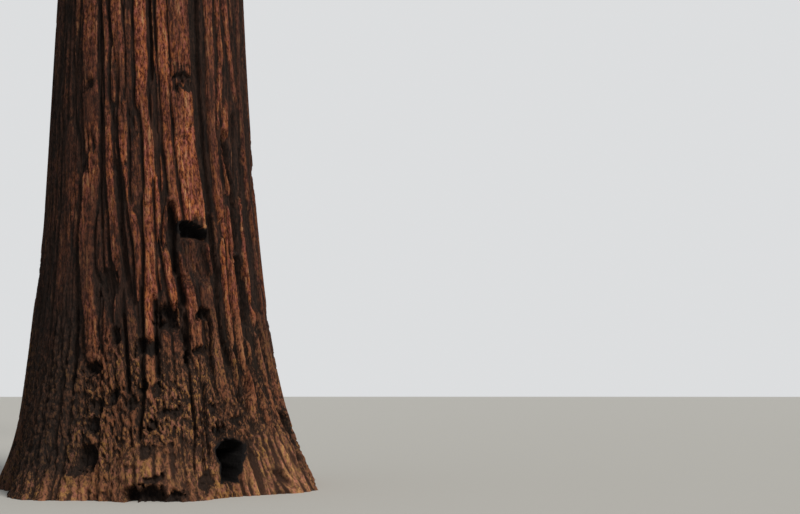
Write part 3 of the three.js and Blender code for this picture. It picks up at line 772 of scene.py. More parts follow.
def depth_of(skin, made, height, crumbled, root, lump):
    """How deep whole bark lies under the trunk's plain outline."""
    furrow = BARK_DEPTH * skin.plain * (1 - height)
    bulge = BULGE_DEPTH * ring_noise(skin.angle, skin.z, *BULGES)
    strands = FIBRE_DEPTH * (1 + 2 * root) * made.fibre + ROOT_FIBRE_DEPTH * root * made.root_fibre
    splits = SPLIT_DEPTH * made.split + SPLINTER_STEP * made.splinter
    splits = splits * (FURROW_SPLITS + (1 - FURROW_SPLITS) * height)
    chips = CRACK_DEPTH * made.crack + CHIP_STEP * made.chip
    whole = furrow + bulge + strands + (splits + chips) * (1 - ROOT_CALM * root)
    return whole - crumbled * LUMP_HEIGHT * (lump - LUMP_LEVEL) - OUTSET


def relief_of(skin, made, height, crumbled, root, lump):
    """How high each point of whole bark looks, from 0 in a furrow to 1 on a ridge."""
    whole = height - SPLIT_RELIEF * made.split * (1 - crumbled) - CRACK_RELIEF * made.crack
    least, most = LUMP_RELIEF
    litter = FOOT_GLOW * smooth(*FOOT_GLOW_HEIGHTS, skin.z)
    lumpy = (least + most * height) * (least + most * lump) + litter
    fibrous = ROOT_RELIEF - ROOT_FIBRE_RELIEF * made.root_fibre - ROOT_FIBRE_RELIEF * made.fibre
    return lerp(lerp(whole, lumpy, crumbled), fibrous, root)


def grooves_at(skin, made):
    """For each deep groove: where it runs, how deep each point of it is and how much painted shade darkens
    it.
    """
    for number, (width, extra, path) in enumerate(GROOVES):
        off, on = along_path(path, skin, skin.z, GROOVE_SEED + number)
        away = np.abs(off + made.edge)
        gap = on * smooth(width / 2 + GROOVE_RIM, width / 2 - GROOVE_RIM, away)
        yield gap, gap * (BARK_DEPTH * skin.plain + extra), gap * min(1, extra / DARK_GROOVE)


def pits_at(skin, made):
    """For each pit: where it is, how deep each point of it is and how much painted shade darkens it."""
    for facing, middle, half, tall, extra in PITS:
        off = turned(skin.angle, facing) * skin.plain + made.jag
        gap = smooth(*PIT_RIM, np.hypot(off / half, (skin.z - middle + made.jag) / tall))
        yield gap, gap * extra, gap * min(PIT_DARKEST, extra / DARK_PIT)


def most_of(cuts):
    """The most that any of many cuts has at each point, for each of the things they say."""
    most = (0, 0, 0)
    for cut in cuts:
        most = [np.maximum(so_far, value) for so_far, value in zip(most, cut)]
    return most


def hollow_at(hollow, skin, made):
    """How deep an arched hollow is, how far inside its outline each point is, and how burnt and
    shaded it is painted, with painted shadow under the lip. The burnt part reaches a little past the edge."""
    jag = HOLLOW_JAG * made.jag + HOLLOW_WOBBLE * grained_noise(skin, *WOBBLES)
    facing = hollow.facing + hollow.lean * (hollow.lip - skin.z)
    aside = np.abs(turned(skin.angle, facing) * skin.plain + jag)
    sunk = 0.5 * (hollow.lip + hollow.foot) - np.clip(skin.z, hollow.foot, hollow.lip)
    half = hollow.width * (0.5 + hollow.taper * sunk)
    spring = hollow.lip - half * hollow.rounding
    over = np.maximum(0, skin.z + jag - spring) / (hollow.lip - spring)
    arch = ((aside / half) ** hollow.square + over**hollow.square) ** (1 / hollow.square)
    edge = HOLLOW_EDGE / half
    sill = smooth(hollow.foot - SILL_START, hollow.foot + hollow.sill, skin.z + jag)
    inside = smooth(1 + edge, 1 - edge, arch) * sill
    deepest = hollow.lip - SHADE_DEEPEST * hollow.shade
    under_lip = smooth(hollow.lip - hollow.shade, deepest, skin.z)
    burnt_from, burnt_to = BURNT_EDGES
    burnt_and_shadow = smooth(1 + burnt_from * edge, 1 + burnt_to * edge, arch) * smooth(*BURNT_SILL, sill)
    # Painted shadow: under the lip the paint turns fully dark.
    burnt_and_shadow = burnt_and_shadow * lerp(hollow.char, 1, under_lip)
    return lerp(hollow.face_depth, hollow.depth, under_lip) * inside, inside, burnt_and_shadow


def hollowed(skin, made, cut, relief, char):
    """Lays the alcove and the cave, with their burnt splintered faces and painted shadow, over the rest."""
    rough = HOLLOW_ROUGHNESS + HOLLOW_SPLINTER * made.splinter
    rough = rough + HOLLOW_CHIP * made.chip + HOLLOW_SPLIT * made.split
    for hollow in HOLLOWS:
        depth, inside, burnt_and_shadow = hollow_at(hollow, skin, made)
        cut = lerp(cut, depth + rough, smooth(*HOLLOW_BLEND, inside))
        relief = lerp(relief, HOLLOW_RELIEF - HOLLOW_SPLINTERS * made.splinter, inside)
        char = np.maximum(char * (1 - inside), burnt_and_shadow)
    return cut, relief, char


def painted_shade(skin):
    """Painted shade: the parts painted dull and dark where shade falls: one side, low down and above, and
    the far edge.
    """
    low = SHADE * smooth(*SHADE_FACINGS, skin.degrees)
    low = low * smooth(*SHADE_HEIGHTS, skin.z) * smooth(*SHADE_FOOT, skin.z)
    high = EDGE_SHADE * smooth(*EDGE_SHADE_FACINGS, skin.degrees) * smooth(*EDGE_SHADE_HEIGHTS, skin.z)
    far = FAR_SHADE * smooth(*FAR_SHADE_FACINGS, skin.degrees) * smooth(*FAR_SHADE_ENDS, skin.degrees)
    far = far * smooth(*FAR_SHADE_HEIGHTS, skin.z)
    return np.maximum(np.maximum(low, high) * smooth(*SHADE_ENDS, skin.degrees), far)


def bark(angle, z):
    """The bark at arrays of angles and heights: its radius, and what colours it, each from 0 to
    1: relief (furrow to ridge), warmth, worn, root and char, which carries real char together with painted
       shade. grain is a place along the fibres."""
    skin = skin_at(angle, z)
    made = fibres(skin)
    height, warmth = plain_ridges(skin)
    height, warmth, crest = main_ridges(skin, height, warmth, made)
    crumbled, root = weathering(skin, crest)
    lump = lumps(skin)
    height = lerp(height, CRUMBLED_HEIGHT + CRUMBLED_OWN * height, CRUMBLED_SHARE * crumbled)
    height = lerp(height, ROOT_HEIGHT + ROOT_OWN * height, root)
    cut = depth_of(skin, made, height, crumbled, root, lump)
    relief = relief_of(skin, made, height, crumbled, root, lump)

    groove, groove_depth, groove_shade = most_of(grooves_at(skin, made))
    pit, pit_depth, pit_shade = most_of(pits_at(skin, made))
    cut = np.maximum(cut, groove_depth) + pit_depth
    relief = relief * (1 - np.maximum(groove, pit))
    # Painted shade: the dull side and the deep grooves and pits are painted darker, and the hollows lay
    # their char and painted shadow over it.
    char = np.maximum(painted_shade(skin), np.maximum(groove_shade, pit_shade))
    cut, relief, char = hollowed(skin, made, cut, relief, char)

    patches = ring_noise(angle, z, *WORN_PATCHES) - 0.5
    worn = smooth(*WORN_HEIGHTS, z + WORN_WAVER * patches) * (1 - WORN_CREST * crest)
    around = (skin.plain - cut)[..., None] * np.stack([np.cos(skin.grain), np.sin(skin.grain)], -1)
    looks = {
        "relief": np.clip(relief, 0, 1),
        "warmth": warmth + CHIP_WARMTH * (made.chip - 0.5),
        "worn": np.maximum(worn, root),
        "root": root,
        "char": char,
        "grain": SCALE * np.concatenate([around, z[..., None]], -1),
    }
    return bark_radius(angle, z) + swells(skin) - cut, looks


# Meshes
SAME_PLACE = 1e-6  # points nearer than this are one, in the frame's metres


def sheet_grid(across, up):
    """A flat grid from 0 to 1 each way, with a map laid over it."""
    grid = bmesh.new()
    grid.loops.layers.uv.new("OFBake")
    bmesh.ops.create_grid(grid, x_segments=across, y_segments=up, size=0.5, calc_uvs=True)
    bmesh.ops.translate(grid, verts=grid.verts, vec=(0.5, 0.5, 0))
    return grid


def places_of(mesh):
    places = np.empty(len(mesh.vertices) * 3, np.float32)
    mesh.vertices.foreach_get("co", places)
    return places.reshape(-1, 3).astype(float)


def add_piece(name, mesh):
    piece = bpy.data.objects.new(name, mesh)
    bpy.context.scene.collection.objects.link(piece)
    return piece


def write_attribute(mesh, name, values):
    kind = "FLOAT_VECTOR" if values.ndim > 1 else "FLOAT"
    attribute = mesh.attributes.new(name, kind, "POINT")
    field = "vector" if values.ndim > 1 else "value"
    attribute.data.foreach_set(field, values.astype(np.float32).ravel())


def clad(grid, name, place):
    """A mesh of a grid with its points moved onto the bark, and what colours them written on."""
    mesh = bpy.data.meshes.new(name)
    grid.to_mesh(mesh)
    grid.free()
    flat = places_of(mesh)
    points, looks = place(flat[:, 0], flat[:, 1])
    mesh.vertices.foreach_set("co", points.astype(np.float32).ravel())
    for label, values in looks.items():
        write_attribute(mesh, label, values)
    return mesh


def on_trunk(angle, z):
    """Points of the bark in the frame's metres, and what colours them."""
    facing = np.where(angle > math.pi, angle - TURN, angle)
    facing = np.where(facing < -math.pi, facing + TURN, facing)
    radius, looks = bark(facing, z)
    aim = np.stack([np.cos(angle), np.sin(angle), np.zeros(angle.shape)], -1)
    return SCALE * (trunk_centre(z) + aim * radius[:, None]), looks


def smooth_but_rims(shape):
    """Smooth faces, with a crease round the open edges. Returns those edges."""
    for face in shape.faces:
        face.smooth = True
    rims = [edge for edge in shape.edges if edge.is_boundary]
    for edge in rims:
        edge.smooth = False
    return rims


def in_fixed_order(parts, place):
    """Sorts the points or faces of a shape by their places, so that every run stores them alike."""
    rank = {part: number for number, part in enumerate(sorted(parts, key=place))}
    parts.sort(key=rank.get)


def trunk_sleeve(name, foot, head, across, up):
    """A length of the trunk: a rolled sheet whose seam is welded and whose ends are closed."""

    def place(share, rise):
        steps = np.rint(share * across) % across
        return on_trunk(steps * (TURN / across), lerp(foot, head, rise))

    mesh = clad(sheet_grid(across, up), name, place)
    rolled = bmesh.new()
    rolled.from_mesh(mesh)
    rolled.verts.ensure_lookup_table()
    borders = [vertex for vertex in rolled.verts if vertex.is_boundary]
    bmesh.ops.remove_doubles(rolled, verts=borders, dist=SAME_PLACE)
    bmesh.ops.holes_fill(rolled, edges=smooth_but_rims(rolled), sides=0)
    rolled.to_mesh(mesh)
    rolled.free()
    return add_piece(name, mesh)


def trunk_stave(name, start, end, across, up):
    """An upright slice of the lower trunk: its bark, with the rims carried in to the axis."""

    def place(share, rise):
        return on_trunk(np.radians(lerp(start, end, share)), STAVE_TOP * rise**ROW_CROWDING)

    mesh = clad(sheet_grid(across, up), name, place)
    wedge = bmesh.new()
    wedge.from_mesh(mesh)
    carried = bmesh.ops.extrude_edge_only(wedge, edges=smooth_but_rims(wedge))
    inner = [part for part in carried["geom"] if isinstance(part, bmesh.types.BMVert)]
    for vertex in inner:
        vertex.co = SCALE * Vector(trunk_centre(vertex.co.z / SCALE))
    bmesh.ops.remove_doubles(wedge, verts=inner, dist=SAME_PLACE)
    bmesh.ops.recalc_face_normals(wedge, faces=wedge.faces)
    in_fixed_order(wedge.verts, lambda vertex: tuple(vertex.co))
    in_fixed_order(wedge.faces, lambda face: tuple(face.calc_center_median()))
    wedge.to_mesh(mesh)
    wedge.free()
    return add_piece(name, mesh)


# Surfaces
class Socket:
    """A number or colour that varies over a surface. Sums with it add Math nodes."""

    def __init__(self, look, socket):
        self.look = look
        self.socket = socket

    def sum(self, operation, first, second):
        return self.look.add("ShaderNodeMath", {"operation": operation}, {0: first, 1: second})

    def __add__(self, other):
        return self.sum("ADD", self, other)

    def __sub__(self, other):
        return self.sum("SUBTRACT", self, other)

    def __rsub__(self, other):
        return self.sum("SUBTRACT", other, self)

    def __mul__(self, other):
        return self.sum("MULTIPLY", self, other)

    __radd__ = __add__
    __rmul__ = __mul__


class Finish:
    """A material under a Principled shader, and the nodes that feed it."""

    def __init__(self, name, **constants):
        self.material = bpy.data.materials.new(name)
        self.material.use_nodes = True
        self.nodes = self.material.node_tree.nodes
        self.shader = self.nodes["Principled BSDF"]
        for socket, value in constants.items():
            self.shader.inputs[socket.replace("_", " ")].default_value = value

    def add(self, kind, settings=None, inputs=None, output=0):
        """Any node: its settings first, then the values or links of its sockets."""
        node = self.nodes.new(kind)
        for label, value in (settings or {}).items():
            setattr(node, label, value)
        for label, value in (inputs or {}).items():
            self.feed(node.inputs[label], value)
        return Socket(self, node.outputs[output])

    def feed(self, socket, value):
        if isinstance(value, Socket):
            self.material.node_tree.links.new(value.socket, socket)
        else:
            socket.default_value = value

    def attribute(self, name, output="Fac"):
        return self.add("ShaderNodeAttribute", {"attribute_name": name}, output=output)

    def cloud(self, place, scale, detail=3, roughness=0.55):
        inputs = {"Vector": place, "Scale": scale, "Detail": detail, "Roughness": roughness}
        return self.add("ShaderNodeTexNoise", {}, inputs)

    def streaks(self, grain, length, scale, detail=3, roughness=0.55):
        """A cloud drawn out along the grain: the smaller the length, the longer its streaks."""
        drawn = self.add("ShaderNodeMapping", {}, {"Vector": grain, "Scale": (1, 1, length)})
        return self.cloud(drawn, scale, detail, roughness)

    def step(self, value, low, high):
        """0 at low and 1 at high, held between them."""
        inputs = {"Value": value, "From Min": low, "From Max": high}
        return self.add("ShaderNodeMapRange", {"clamp": True}, inputs)

    def blend(self, share, first, second):
        """From one colour to another, each of them a paint or a colour that varies."""
        settings = {"data_type": "RGBA", "blend_type": "MIX", "clamp_factor": True}
        colours = [paint(*colour) if isinstance(colour, tuple) else colour for colour in (first, second)]
        return self.add("ShaderNodeMix", settings, {0: share, 6: colours[0], 7: colours[1]}, output=2)

    def surface(self, colour, roughness, height, depth):
        self.feed(self.shader.inputs["Base Color"], colour)
        self.feed(self.shader.inputs["Roughness"], roughness)
        bump = self.add("ShaderNodeBump", {}, {"Height": height, "Distance": depth, "Strength": 1.0})
        self.feed(self.shader.inputs["Normal"], bump)
        return self.material


def paint(red, green, blue):
    """A colour given as it looks on screen, from 0 to 255, as the shader wants it."""
    channels = [value / 255 for value in (red, green, blue)]
    linear = [c / 12.92 if c <= 0.04045 else ((c + 0.055) / 1.055) ** 2.4 for c in channels]
    return (*linear, 1.0)


# Paints of the bark. A pair is blended by one of the patterns.
DULL = ((53, 38, 33), (88, 55, 43))
WARM = ((184, 110, 64), (170, 99, 84))
HIGHLIGHT = (198, 150, 104)
WARM_SPECKLE = (84, 41, 31)
FURROW = ((42, 34, 31), (70, 49, 41))
FURROW_SPECKLE = (37, 31, 28)
GOLD = ((152, 100, 82), (174, 126, 70))
GOLD_PATCH = (136, 88, 62)
CRUMBLED = ((44, 36, 31), (92, 64, 49))
PALE = ((204, 136, 108), (212, 158, 102))
FIBRE = (66, 48, 40)
FIBRE_SPECKLE = (84, 57, 44)
# Char and painted shade: the first pair paints burnt faces and the painted shade of the dull side, grooves
# and pits; the last paints the deepest hollows black, as char and painted shadow.
BURNT_AND_SHADE = ((34, 30, 28), (64, 50, 43))
SOOT_AND_SHADOW = (30, 28, 28)
BARK_BUMP = 0.016


def crumbled_colour(look, lumpy, hues, patches):
    """Crumbled bark: dark gaps, brown lumps and gold ones."""
    gold = look.blend(look.step(hues, 0.44, 0.56), *GOLD)
    gold = look.blend(look.step(patches, 0.42, 0.6), gold, GOLD_PATCH)
    brown = look.blend(look.step(lumpy, 0.4, 0.5), *CRUMBLED)
    return look.blend(look.step(lumpy, 0.49, 0.58), brown, gold)


def bark_finish():
    """Fibrous bark: dark furrows, dull to warm speckled ridges, worn lumps, root, and char with painted
    shade.
    """
    look = Finish("redwood_bark", Specular_IOR_Level=0.06)
    grain = look.attribute("grain", "Vector")
    relief = look.attribute("relief")
    char = look.attribute("char")
    strands = look.streaks(grain, 0.1, 46, 5, 0.65)
    flecks = look.streaks(grain, 0.38, 72, 4, 0.7)
    hues = look.streaks(grain, 0.4, 44, 3, 0.6)
    patches = look.streaks(grain, 0.3, 5, 4)
    hue = look.step(hues, 0.42, 0.58)
    speckle = look.step(flecks + (strands - 0.5) * 0.5, 0.4, 0.58)
    edge = relief + (flecks - 0.5) * 0.4 + (strands - 0.5) * 0.5
    tone = look.attribute("warmth") + (strands - 0.5) * 0.6 + (patches - 0.5) * 1.6

    warm = look.blend(look.step(strands, 0.56, 0.64) * 0.75, look.blend(hue, *WARM), HIGHLIGHT)
    warm = look.blend(speckle, WARM_SPECKLE, warm)
    ridge = look.blend(look.step(tone, 0.3, 1.0), look.blend(speckle, *DULL), warm)
    furrow = look.blend(look.step(strands, 0.42, 0.6), *FURROW)
    furrow = look.blend(0.4 + speckle * 0.6, FURROW_SPECKLE, furrow)
    whole = look.blend(look.step(edge, 0.15, 0.5), furrow, ridge)

    crumbled = crumbled_colour(look, flecks + (relief - 0.55) * 0.3, hues, patches)
    fibre = look.blend(look.step(edge, 0.3, 1.1), FIBRE, look.blend(hue, *PALE))
    fibre = look.blend(0.25 + speckle * 0.75, FIBRE_SPECKLE, fibre)
    worn = look.blend(look.attribute("root"), crumbled, fibre)
    body = look.blend(look.attribute("worn") * 0.85, whole, worn)
    # Painted shade and char: darker where char and painted shade are strong, black in the deepest hollows.
    body = look.blend(char, body, look.blend(look.step(flecks, 0.4, 0.7), *BURNT_AND_SHADE))
    body = look.blend(look.step(char, 0.74, 0.95) * 0.95, body, SOOT_AND_SHADOW)
    return look.surface(body, 0.8 + flecks * 0.2, strands * 0.5 + flecks * 0.8, BARK_BUMP)


def limb_finish(name, dark, pale, grain_scale, depth):
    look = Finish(name, Specular_IOR_Level=0.2)
    place = look.add("ShaderNodeTexCoord", output="Object")
    ridges = look.cloud(place, grain_scale, 4, 0.65)
    patches = look.cloud(place, grain_scale / 9, 3)
    shade = look.step(ridges + (patches - 0.5) * 0.6, 0.35, 0.7)
    return look.surface(look.blend(shade, dark, pale), 0.8 + ridges * 0.15, ridges, depth)


def plain_finishes(paints):
    """A finish of one plain colour for each named paint."""
    constants = {"Roughness": 0.6, "Specular_IOR_Level": 0.3}
    return [
        Finish(name, Base_Color=paint(*colour), **constants).material for name, colour in paints.items()
    ]


# The crown, grown as the source grows it
def crown_reach(z):
    share = min(1, max(0, (z - CROWN_FOOT) / (LIFE_HEIGHT - CROWN_FOOT)))
    foot = lerp(FOOT_SHARE, 1, min(1, share / FOOT_RISE))
    return CROWN_REACH * foot * (1 - share**CROWN_POWER) ** CROWN_ROUNDING


def branch_of(index):
    """The curve that a bough and the stem beyond it follow: low ones droop and high ones rise."""
    draw = seeded(index + BRANCH_SEED)
    share = index / (MASS_COUNT - 1)
    z = lerp(CROWN_FOOT, CROWN_HEAD, share)
    angle = index * GOLDEN_ANGLE + FIRST_HEADING + HEADING_SCATTER * (draw() - 0.5)
    start = float(trunk_radius(z))
    reach = crown_reach(z) * lerp(*REACH_SCATTER, draw()) - start
    rise = lerp(*RISE, share) + RISE_SCATTER * (draw() - 0.5)
    sag = lerp(*SAG, share)
    outwards = heading(angle)
    root = trunk_centre(z) + outwards * start

    def at(along):
        return root + outwards * (reach * along) + UP * (reach * (rise * along - sag * along * along))

    def direction(along):
        return unit(heading(angle, rise - 2 * sag * along))

    on_bough = index < BOUGH_COUNT
    return SimpleNamespace(
        index=index, share=share, outwards=outwards, at=at, direction=direction, on_bough=on_bough
    )


def stretch(branch, start, end):
    """The stretch of a branch from one share of its reach to another."""
    return SimpleNamespace(
        at=lambda share: branch.at(lerp(start, end, share)),
        direction=lambda share: branch.direction(lerp(start, end, share)),
    )


BRANCHES = [branch_of(index) for index in range(MASS_COUNT)]
BOUGHS = [
    SimpleNamespace(
        curve=stretch(branch, ROOTED_SHARE, BOUGH_SHARE),
        root_radius=lerp(*BOUGH_ROOT_RADIUS, branch.index / BOUGH_COUNT),
    )
    for branch in BRANCHES[:BOUGH_COUNT]
]
LEADER_FOOT = trunk_centre(TRUNK_TOP)
LEADER_HEAD = np.array([LEADER_FOOT[0], LEADER_FOOT[1], LIFE_HEIGHT])
LEADER = SimpleNamespace(
    at=lambda share: lerp(LEADER_FOOT, LEADER_HEAD, share), direction=lambda share: UP
)
HEARTS = np.array([branch.at(HEART_SHARE[branch.on_bough]) for branch in BRANCHES] + [LEADER.at(0.5)])


def in_cell(points, index):
    """Whether all points are in a mass's own space, nearer its heart than any other's."""
    squares = ((points[:, None] - HEARTS[None]) ** 2).sum(-1)
    gaps = np.linalg.norm(HEARTS - HEARTS[index], axis=1)
    others = np.arange(len(HEARTS)) != index
    lead = (squares[:, others] - squares[:, index : index + 1]) / (2 * gaps[others])
    return bool((lead > CELL_MARGIN).all())


def clear_of_trunk(points):
    centres = trunk_centre(points[:, 2])
    away = np.hypot(*(points - centres)[:, :2].T)
    return bool(((points[:, 2] > TRUNK_TOP) | (away > trunk_radius(points[:, 2]) + TRUNK_ROOM)).all())


def clear_of_boughs(points):
    for bough in BOUGHS:
        for share in (0, 0.5):
            foot = bough.curve.at(share)
            run = bough.curve.at(share + 0.5) - foot
            along = np.clip((points - foot) @ run / (run @ run), 0, 1)
            away = np.linalg.norm(points - foot - along[:, None] * run, axis=1)
            if not (away > bough.root_radius + BOUGH_ROOM).all():
                return False
    return True


def blade(root, along, flat, length):
    """The source's spray: a square twig that widens into a toothed blade."""
    side = unit(np.cross(along, flat))
    over = unit(np.cross(side, along))
    points = []

    def corner(ahead, across, rise):
        points.append(root + along * (ahead * length) + side * across + over * rise)
        return len(points) - 1

    tip = corner(1, 0, 0)
    ridges = [
        (corner(0, 0, rise * TWIG_RADIUS), corner(BLADE_MIDDLE, 0, rise * SPRAY_THICKNESS / 2))
        for rise in (1, -1)
    ]
    outlines = []
    for hand in (1, -1):
        width = hand * SPRAY_SLIMNESS * length
        teeth = [corner(ahead, across * width, 0) for ahead, across in TEETH]
        outlines.append([corner(0, hand * TWIG_RADIUS, 0), *teeth, tip])
    faces = []
    for root_point, middle in ridges:
        for outline in outlines:
            faces.append((root_point, outline[0], middle))
            faces += [(middle, a, b) for a, b in zip(outline, outline[1:])]
    shape = BVHTree.FromPolygons([Vector(p) for p in points], faces)
    return SimpleNamespace(
        root=root, along=along, side=side, over=over, length=length, points=np.array(points), shape=shape
    )


def blades_of(index, seed, plan, apart=True):
    """The sprays that a mass has in the source. plan(spread) lists their lengths and how a
    root and a direction are drawn for each. The ones that fill it up may cross each other."""
    draw = seeded(seed)
    grown = []

    def spread(low, high):
        return lerp(low, high, draw())

    for length, place in plan(spread):
        for attempt in range(TRIES):
            root, along = place()
            side = unit(np.cross(along, UP))
            roll = spread(-ROLL, ROLL)
            flat = np.cross(side, along)
            flat = flat * math.cos(roll) + np.cross(along, flat) * math.sin(roll)
            made = blade(root, along, flat, length * SHRINK**attempt)
            points = np.vstack([made.points, made.points.mean(0)])
            fits = in_cell(points, index) and clear_of_trunk(points) and clear_of_boughs(points)
            if fits and not (apart and any(made.shape.overlap(other.shape) for other in grown)):
                grown.append(made)
                break
    return grown


def mass_plan(branch, curve, count=SPRAY_COUNT, size=1.0):
    """Sprays reach out to both sides of a stem in turn or hang from it, and one leads on."""
    sideways = np.cross(UP, branch.outwards)
    length = size * lerp(*SPRAY_LENGTH, branch.share)

    def plan(spread):
        def place(at, hand, way):
            along = curve.direction(at) * spread(*way["forward"])
            along = along + sideways * (hand * spread(*way["sideways"]))
            along = along + UP * spread(*way["upward"])
            return curve.at(at), unit(along)

        for turn in range(count - 1):
            hand = 1 if turn % 2 else -1
            way = HANGING if turn % 4 > 1 else REACHING
            yield length, lambda: place((turn + spread(0, 1)) / count, hand, way)
        yield length, lambda: place(LEADING_SHARE, 1, LEADING)

    return plan


def leader_plan(spread):
    for turn in range(LEADER_COUNT):
        share = turn / LEADER_COUNT
        root = LEADER.at(lerp(*LEADER_SPAN, share))

        def place():
            angle = turn * GOLDEN_ANGLE + spread(-LEADER_SCATTER, LEADER_SCATTER)
            return root, unit(heading(angle, lerp(*LEADER_RISE, share)))

        yield lerp(*LEADER_SPRAY, share), place


def masses():
    """Every mass: its stem's curve, the stem's radius at both ends, and its sprays."""
    grown = []
    for branch in BRANCHES:
        foot = BOUGH_SHARE - STEM_OVERLAP if branch.on_bough else ROOTED_SHARE
        curve = stretch(branch, foot, STEM_SHARE)
        plan_curve = stretch(branch, BOUGH_SHARE if branch.on_bough else ROOTED_SHARE, STEM_SHARE)
        seed = branch.index * MASS_SEED_STEP + MASS_SEED
        sprays = blades_of(branch.index, seed, mass_plan(branch, plan_curve))
        filling = mass_plan(branch, plan_curve, FILL_COUNT, FILL_LENGTH)
        sprays += blades_of(branch.index, seed + FILL_SEED_STEP, filling, apart=False)
        radii = (lerp(*STEM_RADIUS, branch.share), STEM_TIP_RADIUS)
        grown.append(SimpleNamespace(curve=curve, radii=radii, sprays=sprays))
    sprays = blades_of(MASS_COUNT, LEADER_SEED, leader_plan)
    sprays += blades_of(MASS_COUNT, LEADER_SEED + FILL_SEED_STEP, leader_plan, apart=False)
    grown.append(SimpleNamespace(curve=LEADER, radii=LEADER_RADIUS, sprays=sprays))
    return grown


# Many small shapes in one mesh
def template(build):
    """A small shape, built by bmesh operators, as places and three-cornered faces."""
    shape = bmesh.new()
    build(shape)
    bmesh.ops.triangulate(shape, faces=shape.faces)
    shape.verts.index_update()
    places = np.array([vertex.co for vertex in shape.verts])
    faces = np.array([[vertex.index for vertex in face.verts] for face in shape.faces])
    shape.free()
    return places, faces


def joined(name, copies, faces, kinds=None):
    """One mesh of many copies of a small shape: copies has each copy's points, and kinds the
    number of the finish that each copy wears."""
    count, corners = copies.shape[:2]
    mesh = bpy.data.meshes.new(name)
    mesh.vertices.add(count * corners)
    mesh.vertices.foreach_set("co", copies.astype(np.float32).ravel())
    all_faces = (faces[None] + np.arange(count)[:, None, None] * corners).reshape(-1, 3)
    mesh.loops.add(all_faces.size)
    mesh.loops.foreach_set("vertex_index", all_faces.astype(np.int32).ravel())
    mesh.polygons.add(len(all_faces))
    mesh.polygons.foreach_set("loop_start", np.arange(0, all_faces.size, 3, dtype=np.int32))
    if kinds is not None:
        mesh.polygons.foreach_set("material_index", np.repeat(kinds, len(faces)).astype(np.int32))
    mesh.update(calc_edges=True)
    return add_piece(name, mesh)


def round_rod(sides, steps):
    """A closed rod from 0 to 1 along Z with a radius of 1."""

    def build(shape):
        bmesh.ops.create_cone(
            shape, cap_ends=True, cap_tris=True, segments=sides, radius1=1, radius2=1, depth=1
        )
        upright = [edge for edge in shape.edges if abs(edge.verts[0].co.z - edge.verts[1].co.z) > 0.5]
        bmesh.ops.subdivide_edges(shape, edges=upright, cuts=steps - 1, use_grid_fill=False)
        bmesh.ops.translate(shape, verts=shape.verts, vec=(0, 0, 0.5))

    return template(build)


def bent_rods(rod, at, sides_of, radius):
    """Copies of a rod bent along curves. at, sides_of and radius take the rod's shares and give
    the middles, the two sideways directions and the radii for every curve."""
    places, faces = rod
    share = places[:, 2]
    middles = at(share)
    side, over = sides_of(share)
    thick = radius(share)[..., None]
    points = middles + thick * (places[:, 0, None] * side + places[:, 1, None] * over)
    return SCALE * points, faces


def crossways(directions):
    """Two directions square to each of an array of directions."""
    level = np.where(np.abs(directions[..., 2:3]) > 0.95, np.array([1.0, 0, 0]), UP)
    side = unit(np.cross(directions, level))
    return side, np.cross(directions, side)


# A needle spray, as shares of its own length: its rib, and the needles to each side of it. Where
# there are two sizes, they are the ones at its root and at its tip.
RIB_MIDDLE = 0.45
RIB_SIZE = (0.62, 0.04)
LEAF_PAIRS = 5
LEAF_REACH = (0.34, 0.2)
LEAF_ANGLE = (62, 42)
LEAF_LIFT = 0.22  # radians
LEAF_START = 0.08
LEAF_PITCH = 0.17
LEAF_STAGGER = 0.03
LEAF_LENGTH = 0.62
LEAF_WIDTH = 0.085


def needle_spray(shape):
    """A flat spray along X: a slim rib, whose point is the needle ahead, with narrow needles
    to both sides."""
    rib = Matrix.Translation((RIB_MIDDLE, 0, 0)) @ Matrix.Diagonal((*RIB_SIZE, 1, 1))
    bmesh.ops.create_circle(shape, cap_ends=True, segments=3, radius=1, matrix=rib)
    for number in range(LEAF_PAIRS):
        share = number / (LEAF_PAIRS - 1)
        reach = lerp(*LEAF_REACH, share)
        for hand in (1, -1):
            start = LEAF_START + LEAF_PITCH * number + LEAF_STAGGER * hand
            place = Matrix.Translation((start, 0, 0))
            lift = Matrix.Rotation(-hand * LEAF_LIFT, 4, "X")
            turn = Matrix.Rotation(hand * math.radians(lerp(*LEAF_ANGLE, share)), 4, "Z")
            slim = Matrix.Diagonal((reach * LEAF_LENGTH, LEAF_WIDTH, 1, 1))
            leaf = place @ lift @ turn @ (Matrix.Translation((reach / 2, 0, 0)) @ slim)
            bmesh.ops.create_circle(shape, cap_ends=True, segments=3, radius=1, matrix=leaf)


# How children leave a parent, whether twigs a branch or needle sprays a twig.
FEWEST = 2
CHILD_START = 0.35  # of the pitch
CHILD_SCATTER = 0.5
CHILD_ANGLE_SCATTER = 9
CHILD_TILT = 0.55
CHILD_DROP = 0.12
CHILD_LEAST = 0.8
CHILD_VARIETY = 0.35
CHILD_DROOP = 0.08  # of its length


